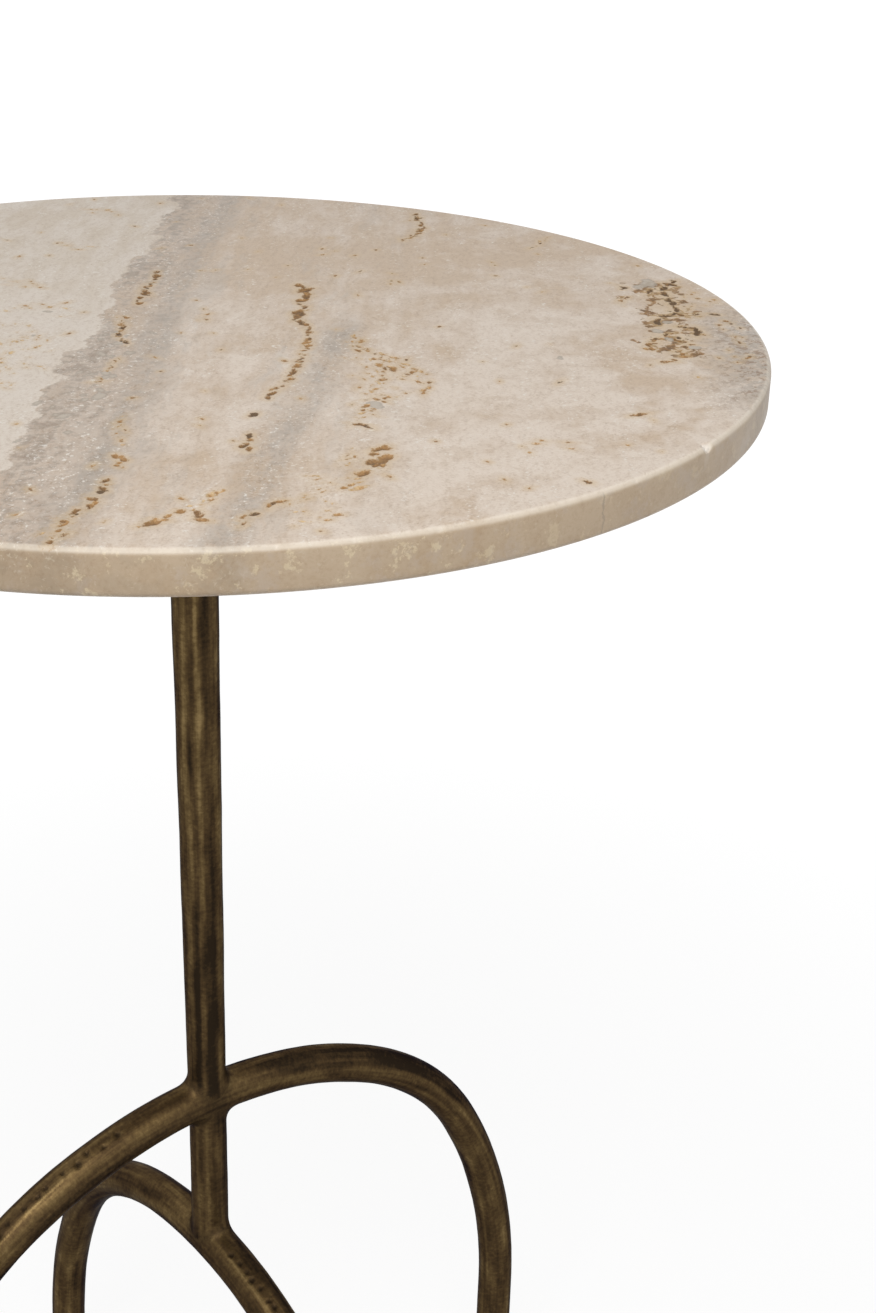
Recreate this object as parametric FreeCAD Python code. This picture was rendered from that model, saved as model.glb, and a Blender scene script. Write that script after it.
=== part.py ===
"""Side table: a round travertine top on a slim stem that two crossing bar arches carry.

Millimetres. The origin is on the floor under the stem's axis and +Z is up. The upper arch
stands in the XZ plane and the lower arch in the YZ plane.
"""
import FreeCAD
import Part
import math
import os

# Whole table
TABLE_HEIGHT = 600.0
CUT_OVERRUN = 1.0

# Stone top
TOP_DIAMETER = 400.0
TOP_THICKNESS = 14.0
TOP_ARRIS = 3.0

# Plate at the head of the stem and the pad that beds the stone on it
PLATE_DIAMETER = 130.0
PLATE_THICKNESS = 5.0
PLATE_EDGE_ROUND = 0.8
CUSHION_DIAMETER = 126.0
CUSHION_THICKNESS = 1.0
PLATE_WELD_LEG = 6.0

# Screws, washers and inserts that hold the plate to the stone
SCREW_COUNT = 4
SCREW_CIRCLE = 96.0
SCREW_DIAMETER = 6.0
SCREW_HOLE_CLEARANCE = 0.3
SCREW_HEAD_DIAMETER = 10.5
SCREW_HEAD_HEIGHT = 3.3
SCREW_HEAD_ROUND = 1.2
SCREW_SOCKET_ACROSS_FLATS = 4.0
SCREW_SOCKET_DEPTH = 2.0
SCREW_END_GAP = 1.0
WASHER_DIAMETER = 12.0
WASHER_THICKNESS = 1.2
INSERT_DIAMETER = 10.0
INSERT_LENGTH = 8.5
INSERT_BOND_GAP = 0.1
THREAD_GAP = 0.05

# Bars of the frame
BAR_DIAMETER = 16.4
STEM_HEAD_DIAMETER = 18.3
STEM_FOOT_STEP = 0.8
STEM_SPIGOT_DIAMETER = 12.0
SPIGOT_GAP = 0.05
LINK_STEP = 1.0
WELD_RADIUS = 5.0
WELD_COLLAR_RISE = 2.0

# Upper arch: crown, shoulder and leg arcs, each turned up to its angle from the vertical
UPPER_CROWN_RADIUS = 170.0
UPPER_SHOULDER_RADIUS = 133.0
UPPER_LEG_RADIUS = 251.0
UPPER_CROWN_ANGLE = 30.0
UPPER_SHOULDER_ANGLE = 63.4
UPPER_LEG_STRAIGHT = 70.0

# Lower arch
LOWER_CROWN_RADIUS = 155.0
LOWER_SHOULDER_RADIUS = 115.0
LOWER_LEG_RADIUS = 226.0
LOWER_CROWN_ANGLE = 21.4
LOWER_SHOULDER_ANGLE = 62.7
LOWER_LEG_STRAIGHT = 17.0

# Levelling glides in the ends of the legs, modelled screwed out by their travel
GLIDE_PAD_DIAMETER = 15.0
GLIDE_PAD_HEIGHT = 5.0
GLIDE_PAD_ROUND = 1.2
GLIDE_TRAVEL = 5.0
GLIDE_STOP_GAP = 0.3
STUD_DIAMETER = 6.0
STUD_ENGAGEMENT = 14.0
STUD_GAP = 0.05
STUD_END_GAP = 1.0
STUD_HEAD_DIAMETER = 10.0
STUD_HEAD_HEIGHT = 1.6
STUD_HEAD_COVER = 1.4
STUD_TIP_CHAMFER = 0.8

FULL_TURN = 360.0
QUARTER_TURN = 90.0
HEX_SIDES = 6

# Levels, from the floor up and from the top down
LEG_END_Z = GLIDE_PAD_HEIGHT + GLIDE_STOP_GAP + GLIDE_TRAVEL
TOP_UNDERSIDE_Z = TABLE_HEIGHT - TOP_THICKNESS
PLATE_TOP_Z = TOP_UNDERSIDE_Z - CUSHION_THICKNESS
PLATE_UNDERSIDE_Z = PLATE_TOP_Z - PLATE_THICKNESS
COLLAR_LENGTH = BAR_DIAMETER / 2 + WELD_RADIUS + WELD_COLLAR_RISE

# Uprights, a little slimmer than the bar that they are welded to
STEM_FOOT_DIAMETER = BAR_DIAMETER - STEM_FOOT_STEP
LINK_DIAMETER = BAR_DIAMETER - LINK_STEP

UP = FreeCAD.Vector(0, 0, 1)
ACROSS = FreeCAD.Vector(0, 1, 0)
ORIGIN = FreeCAD.Vector(0, 0, 0)


def at(x, y, z):
    """A point of the table."""
    return FreeCAD.Vector(x, y, z)


def cylinder(diameter, height, base):
    """An upright round solid standing on a base point."""
    return Part.makeCylinder(diameter / 2, height, base, UP)


def hexagon(across_flats, height, base):
    """An upright six-sided solid standing on a base point."""
    radius = across_flats / 2 / math.cos(math.pi / HEX_SIDES)
    turns = [2 * math.pi * side / HEX_SIDES for side in range(HEX_SIDES + 1)]
    corners = [base + at(radius * math.cos(turn), radius * math.sin(turn), 0) for turn in turns]
    return Part.Face(Part.makePolygon(corners)).extrude(UP * height)


def edges_at(solid, z):
    """The edges of a solid that lie flat at one height."""
    tolerance = FreeCAD.Base.Precision.confusion()
    flat = []
    for edge in solid.Edges:
        box = edge.BoundBox
        if abs(box.ZMin - z) < tolerance and abs(box.ZMax - z) < tolerance:
            flat.append(edge)
    return flat


def screw_places(z):
    """The screw centres at one height, half a step off the arches."""
    radius = SCREW_CIRCLE / 2
    turns = [2 * math.pi * (step + 1 / 2) / SCREW_COUNT for step in range(SCREW_COUNT)]
    return [at(radius * math.cos(turn), radius * math.sin(turn), z) for turn in turns]


def travertine_top():
    """The stone slab with rounded arrises and blind holes for the inserts."""
    slab = cylinder(TOP_DIAMETER, TOP_THICKNESS, at(0, 0, TOP_UNDERSIDE_Z))
    rims = edges_at(slab, TABLE_HEIGHT) + edges_at(slab, TOP_UNDERSIDE_Z)
    slab = slab.makeFillet(TOP_ARRIS, rims)
    hole = INSERT_DIAMETER + 2 * INSERT_BOND_GAP
    depth = INSERT_LENGTH + INSERT_BOND_GAP
    for place in screw_places(TOP_UNDERSIDE_Z - CUT_OVERRUN):
        slab = slab.cut(cylinder(hole, depth + CUT_OVERRUN, place))
    return slab


def top_inserts():
    """Threaded inserts, flush with the underside of the stone."""
    bore = SCREW_DIAMETER + 2 * THREAD_GAP
    inserts = []
    for place in screw_places(TOP_UNDERSIDE_Z):
        body = cylinder(INSERT_DIAMETER, INSERT_LENGTH, place)
        drill = cylinder(bore, INSERT_LENGTH + 2 * CUT_OVERRUN, place - UP * CUT_OVERRUN)
        inserts.append(body.cut(drill))
    return Part.makeCompound(inserts)


def top_washers():
    """Flat washers under the screw heads."""
    hole = SCREW_DIAMETER + 2 * SCREW_HOLE_CLEARANCE
    washers = []
    for place in screw_places(PLATE_UNDERSIDE_Z - WASHER_THICKNESS):
        disc = cylinder(WASHER_DIAMETER, WASHER_THICKNESS, place)
        drill = cylinder(hole, WASHER_THICKNESS + 2 * CUT_OVERRUN, place - UP * CUT_OVERRUN)
        washers.append(disc.cut(drill))
    return Part.makeCompound(washers)


def top_screws():
    """Button-head socket screws, driven from below through the plate into the inserts."""
    head_top_z = PLATE_UNDERSIDE_Z - WASHER_THICKNESS
    head_z = head_top_z - SCREW_HEAD_HEIGHT
    shank_end_z = TOP_UNDERSIDE_Z + INSERT_LENGTH - SCREW_END_GAP
    screws = []
    for place in screw_places(head_z):
        head = cylinder(SCREW_HEAD_DIAMETER, SCREW_HEAD_HEIGHT, place)
        head = head.makeFillet(SCREW_HEAD_ROUND, edges_at(head, head_z))
        socket_base = place - UP * CUT_OVERRUN
        socket = hexagon(SCREW_SOCKET_ACROSS_FLATS, SCREW_SOCKET_DEPTH + CUT_OVERRUN, socket_base)
        shank = cylinder(SCREW_DIAMETER, shank_end_z - head_top_z, place + UP * SCREW_HEAD_HEIGHT)
        screws.append(head.cut(socket).fuse(shank).removeSplitter())
    return Part.makeCompound(screws)


def plate_cushion():
    """The thin pad between the plate and the stone."""
    pad = cylinder(CUSHION_DIAMETER, CUSHION_THICKNESS, at(0, 0, PLATE_TOP_Z))
    hole = SCREW_DIAMETER + 2 * SCREW_HOLE_CLEARANCE
    for place in screw_places(PLATE_TOP_Z - CUT_OVERRUN):
        pad = pad.cut(cylinder(hole, CUSHION_THICKNESS + 2 * CUT_OVERRUN, place))
    return pad


def mounting_plate():
    """The round steel plate, bored for the stem's spigot and drilled for the screws."""
    plate = cylinder(PLATE_DIAMETER, PLATE_THICKNESS, at(0, 0, PLATE_UNDERSIDE_Z))
    rims = edges_at(plate, PLATE_UNDERSIDE_Z) + edges_at(plate, PLATE_TOP_Z)
    plate = plate.makeFillet(PLATE_EDGE_ROUND, rims)
    drill_z = PLATE_UNDERSIDE_Z - CUT_OVERRUN
    drill_length = PLATE_THICKNESS + 2 * CUT_OVERRUN
    bore = STEM_SPIGOT_DIAMETER + 2 * SPIGOT_GAP
    plate = plate.cut(cylinder(bore, drill_length, at(0, 0, drill_z)))
    hole = SCREW_DIAMETER + 2 * SCREW_HOLE_CLEARANCE
    for place in screw_places(drill_z):
        plate = plate.cut(cylinder(hole, drill_length, place))
    return plate


class Arch:
    """One bent bar: crown, shoulder and leg arcs in line, mirrored about the stem."""

    def __init__(self, crown, shoulder, leg, crown_angle, shoulder_angle, straight):
        turns = [0, math.radians(crown_angle), math.radians(shoulder_angle), math.pi / 2]
        self.straight = straight
        self.arcs = []
        x = 0
        drop = 0
        for radius, start, stop in zip((crown, shoulder, leg), turns, turns[1:]):
            centre_x = x - radius * math.sin(start)
            centre_drop = drop + radius * math.cos(start)
            x = centre_x + radius * math.sin(stop)
            drop = centre_drop - radius * math.cos(stop)
            self.arcs.append((radius, centre_x, centre_drop, start, stop))
        self.half_span = x
        self.apex_z = LEG_END_Z + straight + drop

    def bend(self, arc, start):
        """One arc of the bar, turned from a start angle to the arc's end about its centre."""
        radius, centre_x, centre_drop, _, stop = arc
        centre = at(centre_x, 0, self.apex_z - centre_drop)
        outward = at(math.sin(start), 0, math.cos(start))
        along = at(math.cos(start), 0, -math.sin(start))
        section = Part.makeCircle(BAR_DIAMETER / 2, centre + outward * radius, along)
        section.rotate(centre + outward * radius, along, QUARTER_TURN)
        face = Part.Face(Part.Wire(section))
        return face.revolve(centre, ACROSS, math.degrees(stop - start))

    def bar(self):
        """The whole bent bar, with its leg ends flat and drilled for the glide studs."""
        crown, shoulder, leg = self.arcs
        pieces = [self.bend(crown, -crown[-1])]
        foot = at(self.half_span, 0, LEG_END_Z)
        side = [self.bend(shoulder, shoulder[-2]), self.bend(leg, leg[-2])]
        side.append(cylinder(BAR_DIAMETER, self.straight, foot))
        for piece in side:
            pieces.append(piece)
            pieces.append(piece.rotated(ORIGIN, UP, FULL_TURN / 2))
        bar = pieces[0].multiFuse(pieces[1:])
        drill = STUD_DIAMETER + 2 * STUD_GAP
        depth = STUD_ENGAGEMENT + GLIDE_TRAVEL + STUD_END_GAP
        for x in (self.half_span, -self.half_span):
            base = at(x, 0, LEG_END_Z - CUT_OVERRUN)
            bar = bar.cut(cylinder(drill, depth + CUT_OVERRUN, base))
        return bar

    def welded(self, collars):
        """The bar with collars for the upright bars on its crown, blended in by ground welds.

        Each collar is a diameter and a direction, 1 above the crown or -1 below it.
        """
        solid = self.bar()
        apex = at(0, 0, self.apex_z)
        for diameter, direction in collars:
            collar = Part.makeCylinder(diameter / 2, COLLAR_LENGTH, apex, UP * direction)
            solid = solid.fuse(collar)
        return solid.makeFillet(WELD_RADIUS, weld_edges(solid))


def weld_edges(solid):
    """The edges where a collar's round side runs into the bar's crown."""
    edges = []
    for edge in solid.Edges:
        kinds = {type(face.Surface) for face in solid.ancestorsOfType(edge, Part.Face)}
        middle = edge.CenterOfMass
        near_stem = math.hypot(middle.x, middle.y) < BAR_DIAMETER
        if near_stem and kinds == {Part.Cylinder, Part.Toroid}:
            edges.append(edge)
    return edges


UPPER = Arch(
    UPPER_CROWN_RADIUS, UPPER_SHOULDER_RADIUS, UPPER_LEG_RADIUS,
    UPPER_CROWN_ANGLE, UPPER_SHOULDER_ANGLE, UPPER_LEG_STRAIGHT,
)
LOWER = Arch(
    LOWER_CROWN_RADIUS, LOWER_SHOULDER_RADIUS, LOWER_LEG_RADIUS,
    LOWER_CROWN_ANGLE, LOWER_SHOULDER_ANGLE, LOWER_LEG_STRAIGHT,
)
STEM_FOOT_Z = UPPER.apex_z + COLLAR_LENGTH
STEM_LENGTH = PLATE_UNDERSIDE_Z - STEM_FOOT_Z


def upper_arch():
    """The upper arch, with a collar above for the stem and one below for the link."""
    return UPPER.welded([(STEM_FOOT_DIAMETER, 1), (LINK_DIAMETER, -1)])


def lower_arch():
    """The lower arch, square to the upper one, with a collar for the link."""
    return LOWER.welded([(LINK_DIAMETER, 1)]).rotated(ORIGIN, UP, QUARTER_TURN)


def stem():
    """The tapered upright, with a spigot that goes through the plate."""
    foot = at(0, 0, STEM_FOOT_Z)
    taper = Part.makeCone(STEM_FOOT_DIAMETER / 2, STEM_HEAD_DIAMETER / 2, STEM_LENGTH, foot, UP)
    return taper.fuse(cylinder(STEM_SPIGOT_DIAMETER, PLATE_THICKNESS, at(0, 0, PLATE_UNDERSIDE_Z)))


def stem_link():
    """The short upright between the two arches."""
    foot_z = LOWER.apex_z + COLLAR_LENGTH
    length = UPPER.apex_z - COLLAR_LENGTH - foot_z
    return cylinder(LINK_DIAMETER, length, at(0, 0, foot_z))


def plate_weld():
    """The hollow-faced bead between the stem's head and the plate."""
    head_radius = STEM_HEAD_DIAMETER / 2
    taper = (STEM_HEAD_DIAMETER - STEM_FOOT_DIAMETER) / 2 / STEM_LENGTH
    corner = at(head_radius, 0, PLATE_UNDERSIDE_Z)
    rim = at(head_radius + PLATE_WELD_LEG, 0, PLATE_UNDERSIDE_Z)
    foot = at(head_radius - PLATE_WELD_LEG * taper, 0, PLATE_UNDERSIDE_Z - PLATE_WELD_LEG)
    hollow = corner + (rim - corner + foot - corner) * (1 - math.sqrt(1 / 2))
    sides = [Part.makeLine(corner, rim), Part.Arc(rim, hollow, foot).toShape()]
    sides.append(Part.makeLine(foot, corner))
    return Part.Face(Part.Wire(sides)).revolve(ORIGIN, UP, FULL_TURN)


def glide_stud(x, y):
    """The steel stud of one glide, its flat head moulded into the pad."""
    head = cylinder(STUD_HEAD_DIAMETER, STUD_HEAD_HEIGHT, at(x, y, STUD_HEAD_COVER))
    shank_z = STUD_HEAD_COVER + STUD_HEAD_HEIGHT
    tip_z = LEG_END_Z + STUD_ENGAGEMENT
    shank = cylinder(STUD_DIAMETER, tip_z - shank_z, at(x, y, shank_z))
    shank = shank.makeChamfer(STUD_TIP_CHAMFER, edges_at(shank, tip_z))
    return head.fuse(shank).removeSplitter()


def glide_pad(x, y):
    """The nylon base of one glide, moulded round the stud's head."""
    pad = cylinder(GLIDE_PAD_DIAMETER, GLIDE_PAD_HEIGHT, at(x, y, 0))
    rims = edges_at(pad, 0) + edges_at(pad, GLIDE_PAD_HEIGHT)
    return pad.makeFillet(GLIDE_PAD_ROUND, rims).cut(glide_stud(x, y))


def build():
    """All the pieces of the table by name."""
    pieces = {}
    for make in (
        travertine_top, top_inserts, top_screws, top_washers, plate_cushion, mounting_plate,
        plate_weld, stem, stem_link, upper_arch, lower_arch,
    ):
        pieces[make.__name__] = make()
    feet = {
        "right": (UPPER.half_span, 0),
        "left": (-UPPER.half_span, 0),
        "rear": (0, LOWER.half_span),
        "front": (0, -LOWER.half_span),
    }
    for side, (x, y) in feet.items():
        pieces["glide_stud_" + side] = glide_stud(x, y)
        pieces["glide_pad_" + side] = glide_pad(x, y)
    return pieces


os.makedirs("parts", exist_ok=True)
for name, shape in build().items():
    print(name, "solids", len(shape.Solids), "valid", shape.isValid(), "mm3", round(shape.Volume, 1))
    shape.exportStep("parts/" + name + ".step")
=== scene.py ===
"""Looks of a side table: a round travertine top on a brass stem and two crossing bar arches.

Metres, in the table's own frame: the origin is on the floor under the stem and +Z is up. The
upper arch stands along X and the lower arch along Y. Textures and the rows of pits are given in
millimetres.
"""
import logging
import math
from collections.abc import Iterator, Sequence
from contextlib import contextmanager
from dataclasses import dataclass, field
from enum import Enum
from typing import ClassVar

import bpy
import numpy as np
from mathutils import Matrix, Vector, noise


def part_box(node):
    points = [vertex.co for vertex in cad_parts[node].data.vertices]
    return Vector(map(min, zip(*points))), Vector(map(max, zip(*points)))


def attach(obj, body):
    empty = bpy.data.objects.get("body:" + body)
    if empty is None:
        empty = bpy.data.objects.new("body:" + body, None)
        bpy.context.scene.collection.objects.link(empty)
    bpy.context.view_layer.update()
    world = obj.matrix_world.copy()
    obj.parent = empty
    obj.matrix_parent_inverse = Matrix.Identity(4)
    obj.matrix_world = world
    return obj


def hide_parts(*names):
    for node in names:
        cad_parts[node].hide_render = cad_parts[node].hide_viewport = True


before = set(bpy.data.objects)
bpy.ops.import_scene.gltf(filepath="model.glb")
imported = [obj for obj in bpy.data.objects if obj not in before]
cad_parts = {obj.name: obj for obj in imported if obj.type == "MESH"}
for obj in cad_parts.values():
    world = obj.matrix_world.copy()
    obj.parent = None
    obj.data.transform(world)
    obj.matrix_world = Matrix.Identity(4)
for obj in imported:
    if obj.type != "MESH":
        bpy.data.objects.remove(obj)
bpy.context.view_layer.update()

log = logging.getLogger("side_table")
logging.basicConfig(level=logging.INFO, format="%(name)s: %(message)s")

MM = 0.001
# Points closer together than this count as one
TOUCH = 1e-6
# Keeps a division off zero
TINY = 1e-9
HALF_TURN = 180.0
TABLE_BODY = "table"
Array = np.ndarray
Material = bpy.types.Material
Colour = tuple[float, float, float, float]
Span = tuple[float, float]
Size = tuple[float, float, float]
# The size of a noise's features, how many finer layers it has and how strong they are
Grain = tuple[float, float, float]
WHITE: Colour = (1.0, 1.0, 1.0, 1.0)


def tone(red: int, green: int, blue: int) -> Colour:
    """A colour by its screen values from 0 to 255, in linear light."""
    shares = [part / 255 for part in (red, green, blue)]
    return (*(s / 12.92 if s < 0.04045 else ((s + 0.055) / 1.055) ** 2.4 for s in shares), 1.0)


def metres(length: float) -> float:
    """A length in millimetres, in metres, to a ten-thousandth of a millimetre."""
    return round(length * MM, 7)


def fade(values: Array, low: float, high: float) -> Array:
    """A smooth step from 0 at low to 1 at high."""
    share = np.clip((values - low) / (high - low), 0, 1)
    return share * share * (3 - 2 * share)


def ripple(places: Array) -> Array:
    """Smooth noise between -1 and 1 at each place, with features about one unit across."""
    return np.array([noise.noise(Vector(place)) for place in places])


def off_axis(points: Array) -> Array:
    """How far each point lies from the table's axis."""
    return np.hypot(points[:, 0], points[:, 1])


class Pick(Enum):
    """What an edit-mode selection is made of."""

    POINTS = (True, False, False)
    EDGES = (False, True, False)
    FACES = (False, False, True)


class Workpiece:
    """A mesh on the bench, shaped with Blender's own edit tools."""

    def __init__(self, name: str) -> None:
        """Takes up the primitive that was added last and puts its place into its mesh.

        Args:
            name: the piece's name.
        """
        self.piece = bpy.context.active_object
        self.piece.name = name
        self.mesh.name = name
        bpy.ops.object.transform_apply(location=True, rotation=True, scale=True)

    @property
    def mesh(self) -> bpy.types.Mesh:
        """The mesh data of the piece."""
        return self.piece.data

    @staticmethod
    def clear_bench() -> None:
        """Deselects everything, so that the next operator acts on its own piece alone."""
        bpy.ops.object.select_all(action="DESELECT")

    @classmethod
    def cylinder(cls, name: str, radius: float, low: Sequence[float], height: float,
                 sides: int) -> "Workpiece":
        """An upright cylinder standing on the point low.

        Args:
            name: the piece's name.
            radius: its radius.
            low: the middle of its lower face.
            height: its height.
            sides: how many flat sides it starts with.

        Returns:
            The new piece.
        """
        cls.clear_bench()
        middle = Vector(low) + Vector((0, 0, height / 2))
        bpy.ops.mesh.primitive_cylinder_add(vertices=sides, radius=radius, depth=height, location=middle)
        return cls(name)

    @classmethod
    def ring(cls, name: str, radius: float, middle: Sequence[float], sides: int,
             turn: Sequence[float] = (0, 0, 0)) -> "Workpiece":
        """A ring of edges with no face, level unless it is turned.

        Args:
            name: the piece's name.
            radius: its radius.
            middle: its middle.
            sides: how many edges it has.
            turn: its turn about X, Y and Z.

        Returns:
            The new piece.
        """
        cls.clear_bench()
        bpy.ops.mesh.primitive_circle_add(vertices=sides, radius=radius, location=middle, rotation=turn)
        return cls(name)

    def hold(self) -> None:
        """Selects this piece alone and makes it active."""
        self.clear_bench()
        self.piece.select_set(True)
        bpy.context.view_layer.objects.active = self.piece

    @contextmanager
    def editing(self, pick: Pick, chosen: Array) -> Iterator[None]:
        """Edit mode on this piece with only the chosen points, edges or faces selected.

        Args:
            pick: what is selected.
            chosen: one flag for each point, edge or face.
        """
        self.hold()
        bpy.context.tool_settings.mesh_select_mode = pick.value
        mesh = self.mesh
        groups = {Pick.POINTS: mesh.vertices, Pick.EDGES: mesh.edges, Pick.FACES: mesh.polygons}
        for kind, group in groups.items():
            flags = chosen if kind is pick else np.zeros(len(group), bool)
            group.foreach_set("select", np.ascontiguousarray(flags, dtype=bool))
        bpy.ops.object.mode_set(mode="EDIT")
        yield
        bpy.ops.object.mode_set(mode="OBJECT")

    def everything(self) -> Array:
        """A flag for each point, all set."""
        return np.ones(len(self.mesh.vertices), bool)

    def points(self) -> Array:
        """The places of the points.

        Returns:
            One row for each point.
        """
        flat = np.empty(len(self.mesh.vertices) * 3)
        self.mesh.vertices.foreach_get("co", flat)
        return flat.reshape(-1, 3)

    def move_to(self, points: Array) -> None:
        """Puts each point at its new place."""
        self.mesh.vertices.foreach_set("co", np.ascontiguousarray(points, dtype=np.float32).ravel())
        self.mesh.update()

    def edge_ends(self) -> Array:
        """The places of the two ends of each edge.

        Returns:
            Two rows for each edge.
        """
        ends = np.empty(len(self.mesh.edges) * 2, int)
        self.mesh.edges.foreach_get("vertices", ends)
        return self.points()[ends.reshape(-1, 2)]

    def edge_middles(self) -> Array:
        """The middle of each edge, one row each."""
        return self.edge_ends().mean(axis=1)

    def edge_rises(self) -> Array:
        """How far each edge reaches along Z."""
        ends = self.edge_ends()
        return np.abs(ends[:, 1, 2] - ends[:, 0, 2])

    def face_rows(self, what: str) -> Array:
        """The center or the normal of each face.

        Args:
            what: which of the two.

        Returns:
            One row for each face.
        """
        flat = np.empty(len(self.mesh.polygons) * 3)
        self.mesh.polygons.foreach_get(what, flat)
        return flat.reshape(-1, 3)

    def store(self, name: str, values: Array) -> None:
        """Keeps a number or a vector for each point, for the material to read.

        Args:
            name: the attribute's name.
            values: one number or one row of three for each point.
        """
        vector = values.ndim == 2
        kind = "FLOAT_VECTOR" if vector else "FLOAT"
        attribute = self.mesh.attributes.new(name, kind, "POINT")
        attribute.data.foreach_set("vector" if vector else "value", values.astype(np.float32).ravel())

    def modify(self, kind: str, **settings: object) -> None:
        """Adds one modifier with its settings and applies it.

        Args:
            kind: the modifier's type.
            settings: its settings by name.
        """
        self.hold()
        modifier = self.piece.modifiers.new(kind.title(), kind)
        for name, setting in settings.items():
            setattr(modifier, name, setting)
        bpy.ops.object.modifier_apply(modifier=modifier.name)

    def take_in(self, others: Sequence["Workpiece"]) -> None:
        """Joins other pieces into this one.

        Args:
            others: the pieces to join.
        """
        self.hold()
        for other in others:
            other.piece.select_set(True)
        bpy.ops.object.join()

    def round_rims(self, height: float, radius: float, rows: int) -> None:
        """Rounds both rims of an upright piece over.

        Args:
            height: the piece's height.
            radius: how far the rounding reaches.
            rows: how many rows of faces it gets.
        """
        with self.editing(Pick.EDGES, self.edge_rises() < height / 2):
            bpy.ops.mesh.bevel(offset=radius, segments=rows, profile=0.5, affect="EDGES")

    def cut_rows(self, height: float, cuts: int) -> None:
        """Cuts the sides of an upright piece of a height into rows."""
        with self.editing(Pick.EDGES, self.edge_rises() > height / 2):
            bpy.ops.mesh.subdivide(number_cuts=cuts)

    @staticmethod
    def extrude(shift: Sequence[float]) -> None:
        """Extrudes what is selected in edit mode by a shift."""
        bpy.ops.mesh.extrude_region_move(TRANSFORM_OT_translate={"value": shift})

    def cut_off(self, chosen: Array, place: Sequence[float], beyond: Sequence[float]) -> None:
        """Cuts the chosen points flat at a plane, drops what lies beyond it and closes the cut.

        Args:
            chosen: one flag for each point.
            place: a point of the plane.
            beyond: the direction of the side that is dropped.
        """
        with self.editing(Pick.POINTS, chosen):
            bpy.ops.mesh.bisect(plane_co=place, plane_no=beyond, use_fill=True, clear_outer=True)

    def mend_normals(self) -> None:
        """Merges doubled points and turns every face outwards."""
        with self.editing(Pick.POINTS, self.everything()):
            bpy.ops.mesh.remove_doubles(threshold=TOUCH)
            bpy.ops.mesh.normals_make_consistent(inside=False)

    def smooth(self, degrees: float) -> None:
        """Shades the piece smooth, apart from edges sharper than the given angle."""
        self.hold()
        bpy.ops.object.shade_smooth_by_angle(angle=math.radians(degrees))

    def copy(self, name: str, shift: Vector) -> "Workpiece":
        """A copy with a mesh of its own, moved by a shift.

        Args:
            name: the copy's name.
            shift: how far the copy's points are moved.

        Returns:
            The copy.
        """
        self.hold()
        bpy.ops.object.duplicate(linked=False)
        twin = Workpiece(name)
        twin.move_to(twin.points() + np.array(shift))
        return twin

    def scrap(self) -> None:
        """Removes the piece."""
        bpy.data.objects.remove(self.piece)

    def hand_over(self, material: Material, body: str, node: str, slot: str) -> None:
        """Dresses the piece and puts it in a CAD node's place.

        Args:
            material: the finish that it wears.
            body: the body that it moves with.
            node: the CAD node that it stands for.
            slot: the record's material slot; not used.
        """
        self.mesh.materials.clear()
        self.mesh.materials.append(material)
        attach(self.piece, body)
        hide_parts(node)
        self.mesh.calc_loop_triangles()
        log.info("%s: %d triangles, rides on %s", self.piece.name, len(self.mesh.loop_triangles), body)


class Value:
    """A number, colour or vector on its way through a material, with arithmetic for numbers."""

    def __init__(self, surface: "Surface", socket: bpy.types.NodeSocket) -> None:
        """Wraps an output socket of a surface's node tree."""
        self.surface = surface
        self.socket = socket

    def _math(self, operation: str, first: "Value | float", second: "Value | float") -> "Value":
        """One Math node on two numbers."""
        return self.surface.node("ShaderNodeMath", {"operation": operation}, {0: first, 1: second})

    def __add__(self, other: "Value | float") -> "Value":
        """The sum."""
        return self._math("ADD", self, other)

    __radd__ = __add__

    def __sub__(self, other: "Value | float") -> "Value":
        """The difference."""
        return self._math("SUBTRACT", self, other)

    def __rsub__(self, other: float) -> "Value":
        """The difference from a plain number."""
        return self._math("SUBTRACT", other, self)

    def __mul__(self, other: "Value | float") -> "Value":
        """The product."""
        return self._math("MULTIPLY", self, other)

    __rmul__ = __mul__

    def __pow__(self, power: float) -> "Value":
        """The power."""
        return self._math("POWER", self, power)

    def __abs__(self) -> "Value":
        """The size without its sign."""
        return self._math("ABSOLUTE", self, 0.0)

    def most(self, other: "Value | float") -> "Value":
        """The larger of two numbers."""
        return self._math("MAXIMUM", self, other)

    def turn_from(self, other: "Value") -> "Value":
        """The angle of a point with this height over another distance."""
        return self._math("ARCTAN2", self, other)

    def sibling(self, output: str) -> "Value":
        """Another output of the node that this comes from."""
        return Value(self.surface, self.socket.node.outputs[output])


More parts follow.
